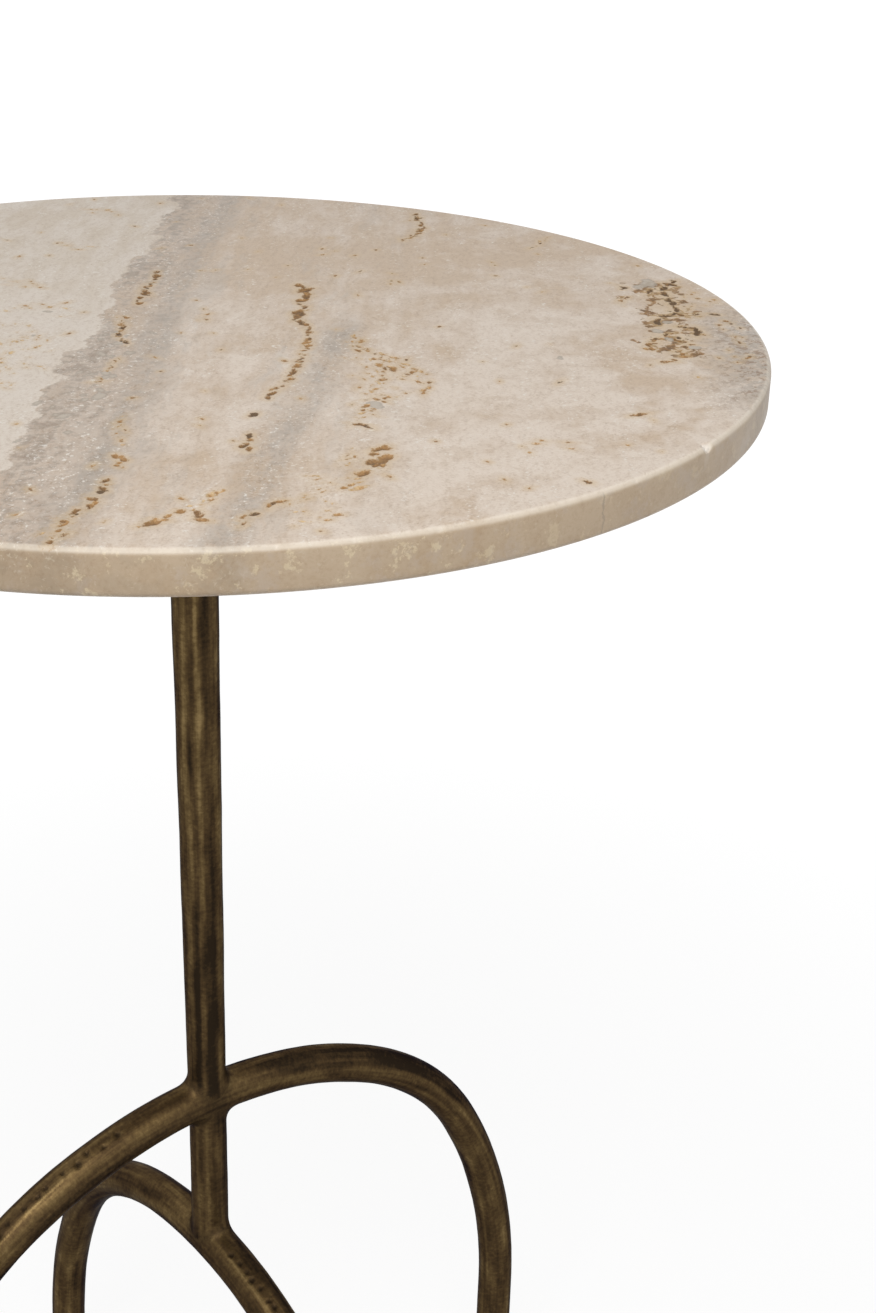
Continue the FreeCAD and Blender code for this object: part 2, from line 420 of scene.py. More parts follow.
class Surface:
    """A material under construction: its node tree and the few nodes that every finish uses."""

    def __init__(self, name: str, tree: bpy.types.NodeTree | None = None) -> None:
        """Starts a material with one Principled shader, or works on a node tree that exists.

        Args:
            name: the material's name.
            tree: the tree to work on in place of a new material's.
        """
        if tree is None:
            self.material = bpy.data.materials.new(name)
            self.material.use_nodes = True
            tree = self.material.node_tree
            self.shader = tree.nodes["Principled BSDF"]
        self.tree = tree

    def feed(self, socket: bpy.types.NodeSocket, source: "Value | object") -> None:
        """Links a value to a socket, or sets a constant on it.

        Args:
            socket: the input.
            source: the value or the constant.
        """
        if isinstance(source, Value):
            self.tree.links.new(source.socket, socket)
        else:
            socket.default_value = source

    def node(self, kind: str, settings: dict | None = None, sockets: dict | None = None,
             output: int | str = 0) -> Value:
        """Any node: its settings are set first, then its sockets.

        Args:
            kind: the node's type.
            settings: properties by name; stops are a ramp's positions and colours.
            sockets: values or links by socket name or number.
            output: the output that is carried on.

        Returns:
            The chosen output.
        """
        node = self.tree.nodes.new(kind)
        for name, setting in (settings or {}).items():
            if name == "stops":
                self.set_stops(node.color_ramp, setting)
            else:
                setattr(node, name, setting)
        for name, source in (sockets or {}).items():
            self.feed(node.inputs[name], source)
        return Value(self, node.outputs[output])

    @staticmethod
    def set_stops(ramp: bpy.types.ColorRamp, stops: Sequence[tuple[float, Colour]]) -> None:
        """Gives a ramp its stops, in order.

        Args:
            ramp: the ramp.
            stops: positions and colours.
        """
        while len(ramp.elements) < len(stops):
            ramp.elements.new(1.0)
        for element, (position, colour) in zip(ramp.elements, stops):
            element.position = position
            element.color = colour

    def object_place(self) -> Value:
        """The place on the object, in millimetres."""
        return self.in_mm(self.node("ShaderNodeTexCoord", output="Object"))

    def in_mm(self, place: Value) -> Value:
        """A place in metres, in millimetres."""
        return self.mapped(place, scale=(1 / MM,) * 3)

    def attribute(self, name: str, output: str = "Fac") -> Value:
        """What the mesh holds for each point under a name."""
        return self.node("ShaderNodeAttribute", {"attribute_name": name}, output=output)

    def mapped(self, place: Value, turn: float = 0.0, scale: Sequence[float] = (1, 1, 1),
               shift: Sequence[float] = (0, 0, 0)) -> Value:
        """A place scaled, turned about Z by degrees and shifted.

        Args:
            place: the vector to map.
            turn: degrees about Z.
            scale: a factor for each axis.
            shift: an offset for each axis.

        Returns:
            The mapped vector.
        """
        sockets = {"Vector": place, "Rotation": (0, 0, math.radians(turn)), "Scale": scale, "Location": shift}
        return self.node("ShaderNodeMapping", sockets=sockets)

    def parts(self, place: Value) -> list[Value]:
        """The X, Y and Z of a vector."""
        first = self.node("ShaderNodeSeparateXYZ", sockets={"Vector": place})
        return [first.sibling(axis) for axis in "XYZ"]

    def reach(self, place: Value) -> Value:
        """How far a place lies from the Z axis."""
        x, y, _ = self.parts(place)
        return (x * x + y * y) ** 0.5

    def noise(self, place: Value, size: float, detail: float = 2.0, rough: float = 0.55) -> Value:
        """Noise about one half, with features of one size in the place's units.

        Args:
            place: where it is read.
            size: the size of its features.
            detail: how many finer layers it has.
            rough: how strong the finer layers are.

        Returns:
            The noise value.
        """
        sockets = {"Vector": place, "Scale": 1 / size, "Detail": detail, "Roughness": rough}
        return self.node("ShaderNodeTexNoise", sockets=sockets)

    def drift(self, place: Value, size: float, reach: float) -> Value:
        """A place pushed about by noise of one size, by up to half a reach each way.

        Args:
            place: the vector to push.
            size: the size of the noise.
            reach: how far the pushes differ.

        Returns:
            The drifted vector.
        """
        sockets = {"Vector": place, "Scale": 1 / size, "Detail": 2.0}
        push = self.node("ShaderNodeTexNoise", sockets=sockets, output="Color")
        settings = {"operation": "MULTIPLY_ADD"}
        moved = self.node("ShaderNodeVectorMath", settings, {0: push, 1: (reach,) * 3, 2: place})
        return self.mapped(moved, shift=(-reach / 2,) * 3)

    def cells(self, place: Value, size: float) -> tuple[Value, Value]:
        """Scattered spots: the distance to the nearest one, in cell sizes, and its random number."""
        near = self.node("ShaderNodeTexVoronoi", sockets={"Vector": place, "Scale": 1 / size})
        return near, self.parts(near.sibling("Color"))[0]

    def step(self, value: Value, low: float, high: float) -> Value:
        """A smooth step from 0 at low to 1 at high."""
        sockets = {"Value": value, "From Min": low, "From Max": high}
        return self.node("ShaderNodeMapRange", {"interpolation_type": "SMOOTHSTEP"}, sockets)

    def fall(self, value: Value, low: float, high: float) -> Value:
        """A smooth step from 1 at low to 0 at high."""
        return 1 - self.step(value, low, high)

    def stretch(self, value: Value, rise: Span, drop: Span) -> Value:
        """A smooth step up over one span, and down again over a later one."""
        return self.step(value, *rise) * self.fall(value, *drop)

    def mix(self, factor: "Value | float", first: "Value | Colour", second: "Value | Colour",
            blend: str = "MIX") -> Value:
        """Two colours mixed by a factor.

        Args:
            factor: the share of the second colour.
            first: the colour at 0.
            second: the colour at 1.
            blend: the way of mixing.

        Returns:
            The mixed colour.
        """
        settings = {"data_type": "RGBA", "blend_type": blend, "clamp_factor": True}
        return self.node("ShaderNodeMix", settings, {0: factor, 6: first, 7: second}, output=2)

    def ramp(self, value: Value, *stops: tuple[float, Colour]) -> Value:
        """A colour ramp of some stops, read at a value."""
        return self.node("ShaderNodeValToRGB", {"stops": stops}, {"Fac": value})

    def bump(self, height: Value, depth: float, strength: float = 1.0) -> Value:
        """A normal from a height between 0 and 1 and its depth in metres."""
        sockets = {"Height": height, "Distance": depth, "Strength": strength}
        return self.node("ShaderNodeBump", sockets=sockets)

    def dressed(self, **sockets: "Value | object") -> Material:
        """Sets the shader's sockets and gives the material.

        Args:
            sockets: values or constants by socket name, with underscores for blanks.

        Returns:
            The material.
        """
        for name, source in sockets.items():
            self.feed(self.shader.inputs[name.replace("_", " ")], source)
        return self.material


@dataclass(frozen=True)
class StonePlace:
    """Where a point of the slab lies, for the patterns of the stone.

    Args:
        place: the place on the object.
        bedding: the place stretched along the veins.
        along: the distance along the veins.
        across: the distance across the veins.
        reach: the distance from the table's axis.
        side: 1 on the sawn edge.
    """

    place: Value
    bedding: Value
    along: Value
    across: Value
    reach: Value
    side: Value


@dataclass(frozen=True)
class Travertine:
    """Honed beige travertine: a pale zone, taupe and grey veins, ochre-filled pits.

    Its places are in millimetres. Lines are given by their distance across the veins, spans by
    the two distances between which a tone comes in or dies out.
    """

    # The slab
    vein_turn: float = 50.0
    bed_stretch: float = 0.2
    rim_radius: float = 200.0
    top_z: float = 600.0
    # The edge, by depths inside the rim and below the top, its crack and filler, and the painted highlight
    # along the arris
    side_start: Span = (1.4, 0.1)
    arris_highlight_start: Span = (2.1, 1.2)
    arris_highlight_stop: Span = (0.5, 0.0)
    arris_highlight_drop: Span = (2.6, 1.2)
    arris_highlight_wander: float = 1.2
    crack_turn: float = -86.5
    crack_width: Span = (0.1, 0.5)
    crack_wander: float = 5.0
    filler_start: Span = (-60.0, 20.0)
    # Clouds and veins
    # Where the top turns darker towards the far end, a painted fall-off of light
    far_falloff_span: Span = (-130.0, 150.0)
    veil_start: Span = (-55.0, -25.0)
    veil_stop: Span = (-95.0, -30.0)
    bedded_span: Span = (-130.0, -50.0)
    ash_start: Span = (-100.0, -30.0)
    ash_shift: Size = (37.0, 11.0, 5.0)
    wander_reach: float = 14.0
    taupe_span: Span = (-4.0, 20.0)
    taupe_edge: Span = (10.0, 30.0)
    spread_stop: Span = (-110.0, 10.0)
    spread_reach: float = 12.0
    grey_line: float = 9.0
    grey_width: float = 8.0
    streak_line: float = -54.0
    streak_width: float = 12.0
    streak_slant: float = 0.085
    streak_pivot: float = 6.0
    streak_stop: Span = (-10.0, 26.0)
    pale_line: float = 32.0
    pale_blur: float = 0.7
    bay_reach: float = 22.0
    bay_tear: float = 7.0
    # The grey strip and the honeycomb by the right-hand rim
    strip_span: Span = (-192.0, -168.0)
    strip_start: Span = (-95.0, -45.0)
    strip_stop: Span = (20.0, 60.0)
    strip_wander: float = 40.0
    comb_line: float = -167.0
    comb_width: Span = (4.0, 12.0)
    comb_start: Span = (-26.0, -8.0)
    comb_stop: Span = (68.0, 88.0)
    comb_wander: float = 40.0
    comb_cell: float = 10.0
    # Fine lines, pores and pits
    line_scale: Size = (2.5, 1.0, 1.0)
    pore_scale: Size = (2.4, 1.0, 1.0)
    pore_cell: float = 2.6
    shore_wander: float = 2.8
    grain_depth: float = 0.00012
    # Drifts, by the size and the reach of the push
    bed_drift: Span = (22.0, 9.0)
    cloud_drift: Span = (40.0, 30.0)
    haze_drift: Span = (15.0, 20.0)
    spark_drift: Span = (3.0, 3.0)
    comb_drift: Span = (5.0, 9.0)
    # Noises
    cloud: Grain = (62.0, 6, 0.6)
    haze: Grain = (17.0, 6, 0.6)
    layer: Grain = (9.0, 7, 0.68)
    ashes: Grain = (15.0, 6, 0.66)
    mottle: Grain = (4.0, 7, 0.74)
    wander: Grain = (14.0, 4, 0.6)
    bays: Grain = (17.0, 4, 0.5)
    skin: Grain = (0.7, 4, 0.7)
    honing: Grain = (7.0, 4, 0.6)
    blotch: Grain = (6.0, 6, 0.72)
    flecks: Grain = (3.2, 4, 0.7)
    lines: Grain = (2.2, 6, 0.74)
    grit: Grain = (1.0, 5, 0.75)
    clusters: Grain = (8.0, 4, 0.6)
    sparks: Grain = (1.4, 4, 0.66)
    ragged: Grain = (0.8, 3, 0.7)
    smudges: Grain = (12.0, 6, 0.68)
    patches: Grain = (7.0, 6, 0.74)
    crack: Grain = (4.0, 3, 0.55)
    arris_highlight_noise: Grain = (5.0, 4, 0.55)
    comb: Grain = (11.0, 3, 0.55)
    comb_torn: Grain = (3.2, 5, 0.7)
    comb_gaps: Grain = (6.0, 3, 0.55)
    shore: Grain = (1.5, 5, 0.72)
    crumbs: Grain = (1.2, 3, 0.7)
    pit_shade: Grain = (1.6, 5, 0.72)
    # Tones
    cream: Colour = tone(221, 210, 197)
    tan: Colour = tone(205, 189, 168)
    pale: Colour = tone(225, 211, 196)
    beige: Colour = tone(214, 197, 179)
    rosy: Colour = tone(203, 181, 156)
    ash: Colour = tone(188, 177, 165)
    taupe: Colour = tone(187, 172, 157)
    mushroom: Colour = tone(155, 140, 124)
    grey: Colour = tone(173, 162, 150)
    ochre: Colour = tone(208, 180, 138)
    clay: Colour = tone(180, 154, 122)
    amber: Colour = tone(172, 132, 84)
    russet: Colour = tone(132, 97, 58)
    umber: Colour = tone(88, 67, 46)
    grout: Colour = tone(186, 174, 158)
    crystal: Colour = tone(240, 236, 229)
    sawn: Colour = tone(220, 212, 197)
    filler: Colour = tone(222, 206, 172)
    # The pale tone of the painted highlight along the arris
    arris: Colour = tone(240, 231, 215)
    grain_dark: Colour = tone(206, 190, 173)
    grain_light: Colour = tone(250, 247, 244)

    def material(self) -> Material:
        """The stone as a material.

        Returns:
            The material.
        """
        stone = Surface("travertine")
        spot = self.lay_out(stone)
        colour, veined = self.body(stone, spot)
        colour = self.clouded_rim(stone, spot, colour)
        colour = self.speckled(stone, spot, colour, veined)
        colour = self.edged(stone, spot, colour)
        colour, hollow = self.honeycombed(stone, spot, colour)
        colour, pit = self.pitted(stone, spot, colour)
        pit = pit.most(hollow)
        grain = stone.noise(spot.place, *self.skin)
        rough = 0.34 + 0.18 * stone.noise(spot.bedding, *self.honing) + 0.35 * pit
        normal = stone.bump(grain * 0.12 + (1 - pit), self.grain_depth, 0.5)
        return stone.dressed(Base_Color=colour, Roughness=rough, Normal=normal, Specular_IOR_Level=0.4)

    def inside_rim(self, span: Span) -> Span:
        """Two depths inside the rim as distances from the table's axis."""
        return (self.rim_radius - span[0], self.rim_radius - span[1])

    def lay_out(self, stone: Surface) -> StonePlace:
        """Where each point lies.

        Args:
            stone: the material under construction.

        Returns:
            The places that the patterns read.
        """
        place = stone.object_place()
        vein = stone.mapped(place, turn=-self.vein_turn)
        bedding = stone.mapped(stone.drift(vein, *self.bed_drift), scale=(self.bed_stretch, 1, 1))
        along, across, _ = stone.parts(vein)
        reach = stone.reach(place)
        side = stone.step(reach, *self.inside_rim(self.side_start))
        return StonePlace(place, bedding, along, across, reach, side)

    def body(self, stone: Surface, spot: StonePlace) -> tuple[Value, Value]:
        """The clouds and veins of the slab.

        Args:
            stone: the material under construction.
            spot: where a point lies.

        Returns:
            The colour before speckles, and how much of a vein a point lies in.
        """
        place, bedding, along, across = spot.place, spot.bedding, spot.along, spot.across
        cloud = stone.noise(stone.drift(place, *self.cloud_drift), *self.cloud)
        haze = stone.noise(stone.drift(place, *self.haze_drift), *self.haze)
        layer = stone.noise(bedding, *self.layer)
        ashy = stone.noise(stone.mapped(bedding, shift=self.ash_shift), *self.ashes)
        mottle = stone.noise(place, *self.mottle)
        wander = (stone.noise(bedding, *self.wander) - 0.5) * self.wander_reach
        depth = across + wander

        # The clouds: rosy and pale swirls, streaky towards the veins, and cooler and darker at the far end,
        # where the darkening is a painted fall-off of light
        far = stone.step(along, *self.far_falloff_span)
        veil = stone.step(depth, *self.veil_start) * stone.fall(along, *self.veil_stop)
        bedded = stone.step(across, *self.bedded_span)
        streaks = (layer - 0.5) * (0.12 + 0.26 * bedded)
        swirls = (haze - 0.5) * (0.59 - 0.25 * far) * (1 - 0.6 * bedded)
        # Painted fall-off of light: the clouds are pushed darker towards the far end
        lift_and_falloff = 0.31 - far * 0.085 - veil * 0.05
        cloudy = cloud * 0.34 + mottle * 0.12 + swirls + streaks + lift_and_falloff
        colour = stone.ramp(cloudy, (0.43, self.rosy), (0.5, self.beige), (0.57, self.pale))
        ashen = stone.step(ashy, 0.5, 0.66) * stone.step(depth, *self.ash_start)
        colour = stone.mix(ashen * 0.5, colour, self.ash)

        # The taupe band, with dusky specks towards the pale zone
        spread = stone.fall(along, *self.spread_stop) * self.spread_reach
        band = stone.step(depth + spread, *self.taupe_span)
        streaky = stone.step(layer * 0.6 + mottle * 0.4, 0.4, 0.6)
        colour = stone.mix(band * (0.35 + 0.6 * streaky), colour, self.taupe)
        near_edge = stone.step(across + wander * 0.5, *self.taupe_edge)
        dusky = stone.step(mottle * 0.6 + layer * 0.4 + near_edge * 0.05, 0.53, 0.6)
        colour = stone.mix(band * dusky * 0.6, colour, self.mushroom)

        # The grey vein inside the band, and a second grey streak beside it
        vein = stone.fall(abs(depth + spread * 0.4 - self.grey_line), 0.0, self.grey_width)
        bent = depth - self.streak_line - (self.streak_pivot - along) * self.streak_slant
        streak = stone.fall(abs(bent), 0.0, self.streak_width) * stone.fall(along, *self.streak_stop)
        colour = stone.mix(vein.most(streak) * (0.2 + 0.7 * streaky), colour, self.grey)

        # The pale zone, with bays along its edge
        bays = (stone.noise(place, *self.bays) - 0.5) * self.bay_reach + (mottle - 0.5) * self.bay_tear
        pale = stone.step(across + bays, self.pale_line - self.pale_blur, self.pale_line + self.pale_blur)
        # More tan in the pale zone towards the far end, partly a painted fall-off of light
        tanned = stone.step(layer * 0.6 + cloud * 0.4, 0.44, 0.62) * (0.1 + 0.7 * far)
        pale_tint = stone.mix(tanned, self.cream, self.tan)
        return stone.mix(pale, colour, pale_tint), band.most(streak) * (1 - pale)

    def clouded_rim(self, stone: Surface, spot: StonePlace, colour: Value) -> Value:
        """The grey speckled strip by the right-hand rim.

        Args:
            stone: the material under construction.
            spot: where a point lies.
            colour: the colour so far.

        Returns:
            The colour with the strip.
        """
        blotch = stone.noise(spot.place, *self.blotch)
        strip = stone.fall(spot.across + (blotch - 0.5) * self.strip_wander, *self.strip_span)
        strip *= stone.stretch(spot.along, self.strip_start, self.strip_stop)
        colour = stone.mix(strip * (0.3 + 0.6 * stone.step(blotch, 0.4, 0.56)), colour, self.grey)
        fleck = stone.step(stone.noise(spot.place, *self.flecks), 0.52, 0.57)
        return stone.mix(strip * fleck * 0.65, colour, self.russet)

    def speckled(self, stone: Surface, spot: StonePlace, colour: Value, veined: Value) -> Value:
        """Fine bedding lines, grain, crystals and pores.

        Args:
            stone: the material under construction.
            spot: where a point lies.
            colour: the colour so far.
            veined: how much of a vein a point lies in.

        Returns:
            The speckled colour.
        """
        place, bedding = spot.place, spot.bedding
        lines = stone.noise(stone.mapped(bedding, scale=self.line_scale), *self.lines)
        fine = lines * 0.5 + stone.noise(place, *self.grit) * 0.5
        light = stone.ramp(fine, (0.36, self.grain_dark), (0.5, self.grain_light), (0.6, WHITE))
        colour = stone.mix(0.65 + 0.35 * veined, colour, light, "MULTIPLY")
        cluster = stone.step(stone.noise(bedding, *self.clusters) + veined * 0.07, 0.46, 0.6)
        spark = stone.step(stone.noise(stone.drift(place, *self.spark_drift), *self.sparks), 0.56, 0.66)
        colour = stone.mix(spark * cluster * (0.6 + 0.15 * veined), colour, self.crystal)
        near, chance = stone.cells(stone.mapped(bedding, scale=self.pore_scale), self.pore_cell)
        ragged = stone.noise(place, *self.ragged) * 0.3
        pore = stone.fall(near + ragged, 0.2, 0.33) * stone.step(chance + veined * 0.22, 0.83, 0.87)
        pore_tint = stone.mix(veined * 0.8, self.clay, self.mushroom)
        return stone.mix(pore * (0.6 - 0.4 * spot.side), colour, pore_tint)

    def edged(self, stone: Surface, spot: StonePlace, colour: Value) -> Value:
        """The sawn and filled edge, warmer than the faces, with one fine crack and a painted highlight along
        the arris.

        Args:
            stone: the material under construction.
            spot: where a point lies.
            colour: the colour so far.

        Returns:
            The colour with its edge.
        """
        place = spot.place
        x, y, z = stone.parts(place)
        edge = stone.mix(1.0, stone.mix(0.5, colour, self.beige), self.sawn, "MULTIPLY")
        smudge = stone.step(stone.noise(place, *self.smudges), 0.52, 0.64)
        edge = stone.mix(smudge * 0.42, edge, self.taupe)
        patch = stone.step(stone.noise(place, *self.patches), 0.56, 0.62)
        edge = stone.mix(patch * (0.5 - 0.28 * stone.step(x, *self.filler_start)), edge, self.filler)
        arc = y.turn_from(x) * self.rim_radius - math.radians(self.crack_turn) * self.rim_radius
        crack = abs(arc + (stone.noise(place, *self.crack) - 0.5) * self.crack_wander)
        edge = stone.mix(stone.fall(crack, *self.crack_width) * 0.6, edge, self.mushroom)
        colour = stone.mix(spot.side, colour, edge)
        # Painted highlight: a pale band along the rounded arris, standing for the light that it catches
        highlight_reach = spot.reach + (stone.noise(place, *self.arris_highlight_noise) - 0.5) * self.arris_highlight_wander
        rounded = stone.step(highlight_reach, *self.inside_rim(self.arris_highlight_start))
        rounded *= stone.fall(spot.reach, *self.inside_rim(self.arris_highlight_stop))
        rounded *= stone.step(z, self.top_z - self.arris_highlight_drop[0], self.top_z - self.arris_highlight_drop[1])
        return stone.mix(rounded * 0.4, colour, self.arris)

    def honeycombed(self, stone: Surface, spot: StonePlace, colour: Value) -> tuple[Value, Value]:
        """The honeycomb of dark hollows by the right-hand rim.

        Args:
            stone: the material under construction.
            spot: where a point lies.
            colour: the colour so far.

        Returns:
            The colour with the hollows, and how far a point is inside one.
        """
        place = spot.place
        sockets = {"Vector": stone.drift(place, *self.comb_drift), "Scale": 1 / self.comb_cell}
        wall = stone.node("ShaderNodeTexVoronoi", {"feature": "DISTANCE_TO_EDGE"}, sockets)
        off = abs(spot.across - self.comb_line + (stone.noise(place, *self.comb) - 0.5) * self.comb_wander)
        patch = stone.fall(off, *self.comb_width) * stone.stretch(spot.along, self.comb_start, self.comb_stop)
        torn = stone.noise(place, *self.comb_torn)
        hollow = stone.fall(wall - (torn - 0.5) * 0.9, 0.08, 0.15) * stone.step(patch, 0.3, 0.6)
        hollow *= stone.step(stone.noise(place, *self.comb_gaps), 0.42, 0.5)
        shade = stone.ramp(torn, (0.4, self.amber), (0.52, self.russet), (0.68, self.umber))
        colour = stone.mix(patch * 0.3, colour, self.ochre)
        return stone.mix(hollow * 0.9, colour, shade), hollow

    def pitted(self, stone: Surface, spot: StonePlace, colour: Value) -> tuple[Value, Value]:
        """The pits and their ochre stain, from what the mesh holds.

        Args:
            stone: the material under construction.
            spot: where a point lies.
            colour: the colour so far.

        Returns:
            The colour with pits, and how far a point is inside a pit.
        """
        place = spot.place
        gap, dark, chip = stone.parts(stone.attribute("pits", "Vector"))
        shore = gap + (stone.noise(place, *self.shore) - 0.5) * self.shore_wander
        inside = stone.fall(shore, -0.35, 0.2)
        filled = stone.fall(dark, -0.6, -0.4)
        stain = stone.fall(shore, -0.2, 2.6) * (0.14 + 0.4 * stone.step(dark, -0.2, 0.3))
        colour = stone.mix(stain * (1 - filled), colour, self.ochre)
        crumb = stone.step(stone.noise(place, *self.crumbs), 0.57, 0.63) * stone.fall(gap, 0.4, 3.6)
        colour = stone.mix(crumb * (1 - filled) * 0.5, colour, self.amber)
        colour = stone.mix(chip * 0.5, colour, self.crystal)
        shade = stone.noise(place, *self.pit_shade) * 0.9 + dark * 0.55 - shore * 0.16
        stops = zip((0.42, 0.56, 0.8, 1.0), (self.ochre, self.amber, self.russet, self.umber))
        filling = stone.mix(filled, stone.ramp(shade, *stops), self.grout)
        outline = stone.fall(abs(shore), 0.1, 0.6) * filled
        colour = stone.mix(outline * 0.6, stone.mix(inside * 0.92, colour, filling), self.mushroom)
        return colour, inside * (1 - filled)


@dataclass(frozen=True)
class AntiqueBrass:
    """Dark antique brass, rubbed through to olive gold along the bar, with painted highlights, reflections
    and shade from the stripes that the mesh holds.
    """

    black: Colour = tone(45, 36, 26)
    brown: Colour = tone(75, 59, 39)
    olive: Colour = tone(97, 79, 51)
    gold: Colour = tone(146, 124, 84)
    rim_tint: Colour = (0.30, 0.36, 0.45, 1.0)
    bark_depth: float = 0.00002
    streak: Grain = (2.6, 3, 0.5)
    streak_scale: Size = (1.0, 1.0, 0.05)
    cloud: Grain = (7.0, 4, 0.5)
    cloud_scale: Size = (1.0, 1.0, 0.3)
    bark: Grain = (1.5, 4, 0.68)
    bark_scale: Size = (0.7, 0.7, 1.0)

    def material(self, name: str, along_bar: bool) -> Material:
        """The brass as a material.

        Args:
            name: the material's name.
            along_bar: whether streaks follow the bar that the mesh holds, or the object's own axes.

        Returns:
            The material.
        """
        brass = Surface(name)
        place = brass.in_mm(brass.attribute("grain", "Vector")) if along_bar else brass.object_place()
        streak = brass.noise(brass.mapped(place, scale=self.streak_scale), *self.streak)
        cloud = brass.noise(brass.mapped(place, scale=self.cloud_scale), *self.cloud)
        bark = brass.noise(brass.mapped(place, scale=self.bark_scale), *self.bark)
        # Patina noise and the stripes, which carry painted highlights, reflections and shade as well as
        # rubbing
        patina_and_light = streak * 0.33 + cloud * 0.33 + bark * 0.26 + 0.037 + brass.attribute("rub_and_light") * 0.13
        stops = zip((0.36, 0.47, 0.56, 0.72), (self.black, self.brown, self.olive, self.gold))
        # Darker where the mesh says: patina on the weld and in the dents, and painted shade in the crevices
        # at the crown
        colour = brass.mix(brass.attribute("patina_and_crevice_shade") * 0.85, brass.ramp(patina_and_light, *stops), self.black)
        rough = 0.5 - 0.14 * brass.step(patina_and_light, 0.42, 0.7) + 0.1 * bark
        return brass.dressed(Base_Color=colour, Metallic=1.0, Roughness=rough, Specular_Tint=self.rim_tint,
                             Normal=brass.bump(bark, self.bark_depth, 0.6))


@dataclass(frozen=True)
class PlainFinish:
    """A finish of one tone, for the fittings. Its grain is in millimetres and its depth in metres."""

    name: str
    low: Colour
    high: Colour
    metallic: float
    roughness: float
    grain: float
    depth: float
    cloud_grains: float = 9.0

    def material(self) -> Material:
        """The finish as a material.

        Returns:
            The material.
        """
        coat = Surface(self.name)
        place = coat.object_place()
        fine = coat.noise(place, self.grain, 4, 0.65)
        cloud = coat.noise(place, self.grain * self.cloud_grains, 3)
        colour = coat.mix(coat.step(fine * 0.6 + cloud * 0.4, 0.35, 0.65), self.low, self.high)
        rough = self.roughness + (cloud - 0.5) * 0.3
        return coat.dressed(Base_Color=colour, Metallic=self.metallic, Roughness=rough,
                            Normal=coat.bump(fine, self.depth))


ZINC_STEEL = PlainFinish("zinc_steel", tone(150, 152, 154), tone(196, 198, 198), 1.0, 0.34, 0.5, 0.00003)
INSERT_BRASS = PlainFinish("insert_brass", tone(168, 132, 70), tone(206, 172, 104), 1.0, 0.3, 0.5, 0.00003)
CUSHION_FOAM = PlainFinish("cushion_foam", tone(26, 26, 27), tone(48, 48, 49), 0.0, 0.9, 0.7, 0.0002)
GLIDE_NYLON = PlainFinish("glide_nylon", tone(34, 33, 32), tone(50, 48, 46), 0.0, 0.55, 0.4, 0.00004)


class PitTone(Enum):
    """What fills a run of pits: grey filler at -1, or from ochre below 0 to umber at 1."""

    FILLED = -1.0
    OCHRE = -0.1
    AMBER = 0.1
    BROWN = 0.5
    UMBER = 0.9


FILLED, OCHRE, AMBER, BROWN, UMBER = PitTone


@dataclass(frozen=True)
class Pit:
    """One pit of the slab in plan: its middle, half width, length for its width, turn and darkness."""

    x: float
    y: float
    radius: float
    stretch: float
    turn: float
    dark: float

    def gap(self, plan: Array) -> Array:
        """The distance from each place to the pit's rim, below 0 inside it.

        Args:
            plan: X and Y, one row for each place.

        Returns:
            The distances.
        """
        away = plan - (self.x, self.y)
        lengthwise = away[:, 0] * math.cos(self.turn) + away[:, 1] * math.sin(self.turn)
        crosswise = away[:, 1] * math.cos(self.turn) - away[:, 0] * math.sin(self.turn)
        return np.hypot(lengthwise / self.stretch, crosswise) - self.radius


@dataclass(frozen=True)
class PitRun:
    """A run of pits along a bedding line of the slab, in plan.

    Args:
        points: the line that it follows.
        gap: the usual distance from one pit to the next.
        spread: how far pits stray from the line.
        size: the smallest and the largest half width of a pit.
        tone: what fills it.
    """

    points: tuple[Span, ...]
    gap: float
    spread: float
    size: Span
    tone: PitTone
    jitter: Span = (0.1, 0.9)
    stretch: Span = (1.1, 2.6)
    turn_spread: float = 0.45
    tone_spread: float = 0.18

    def scatter(self, chance: np.random.Generator) -> list[Pit]:
        """The pits of the run, drawn out along it.

        Args:
            chance: the random source.

        Returns:
            The pits.
        """
        pits = []
        for start, stop in zip(self.points, self.points[1:]):
            first, last = np.array(start), np.array(stop)
            heading = math.atan2(*(last - first)[::-1])
            count = max(1, round(np.linalg.norm(last - first) / self.gap))
            for share in (np.arange(count) + chance.uniform(*self.jitter, count)) / count:
                x, y = first + (last - first) * share + chance.normal(0, self.spread / 2, 2)
                radius = self.size[0] + (self.size[1] - self.size[0]) * chance.uniform() ** 2
                turn = heading + chance.normal(0, self.turn_spread)
                dark = self.tone.value + chance.normal(0, self.tone_spread)
                pits.append(Pit(x, y, radius, chance.uniform(*self.stretch), turn, dark))
        return pits


def pit_runs(*rows: tuple) -> tuple[PitRun, ...]:
    """Runs of pits from rows in millimetres.

    Args:
        rows: a tone, a gap, a spread, the smallest and the largest size, and the points of the line.

    Returns:
        The runs, in metres.
    """
    runs = []
    for filling, gap, spread, small, large, *points in rows:
        line = tuple((metres(x), metres(y)) for x, y in points)
        runs.append(PitRun(line, metres(gap), metres(spread), (metres(small), metres(large)), filling))
    return tuple(runs)


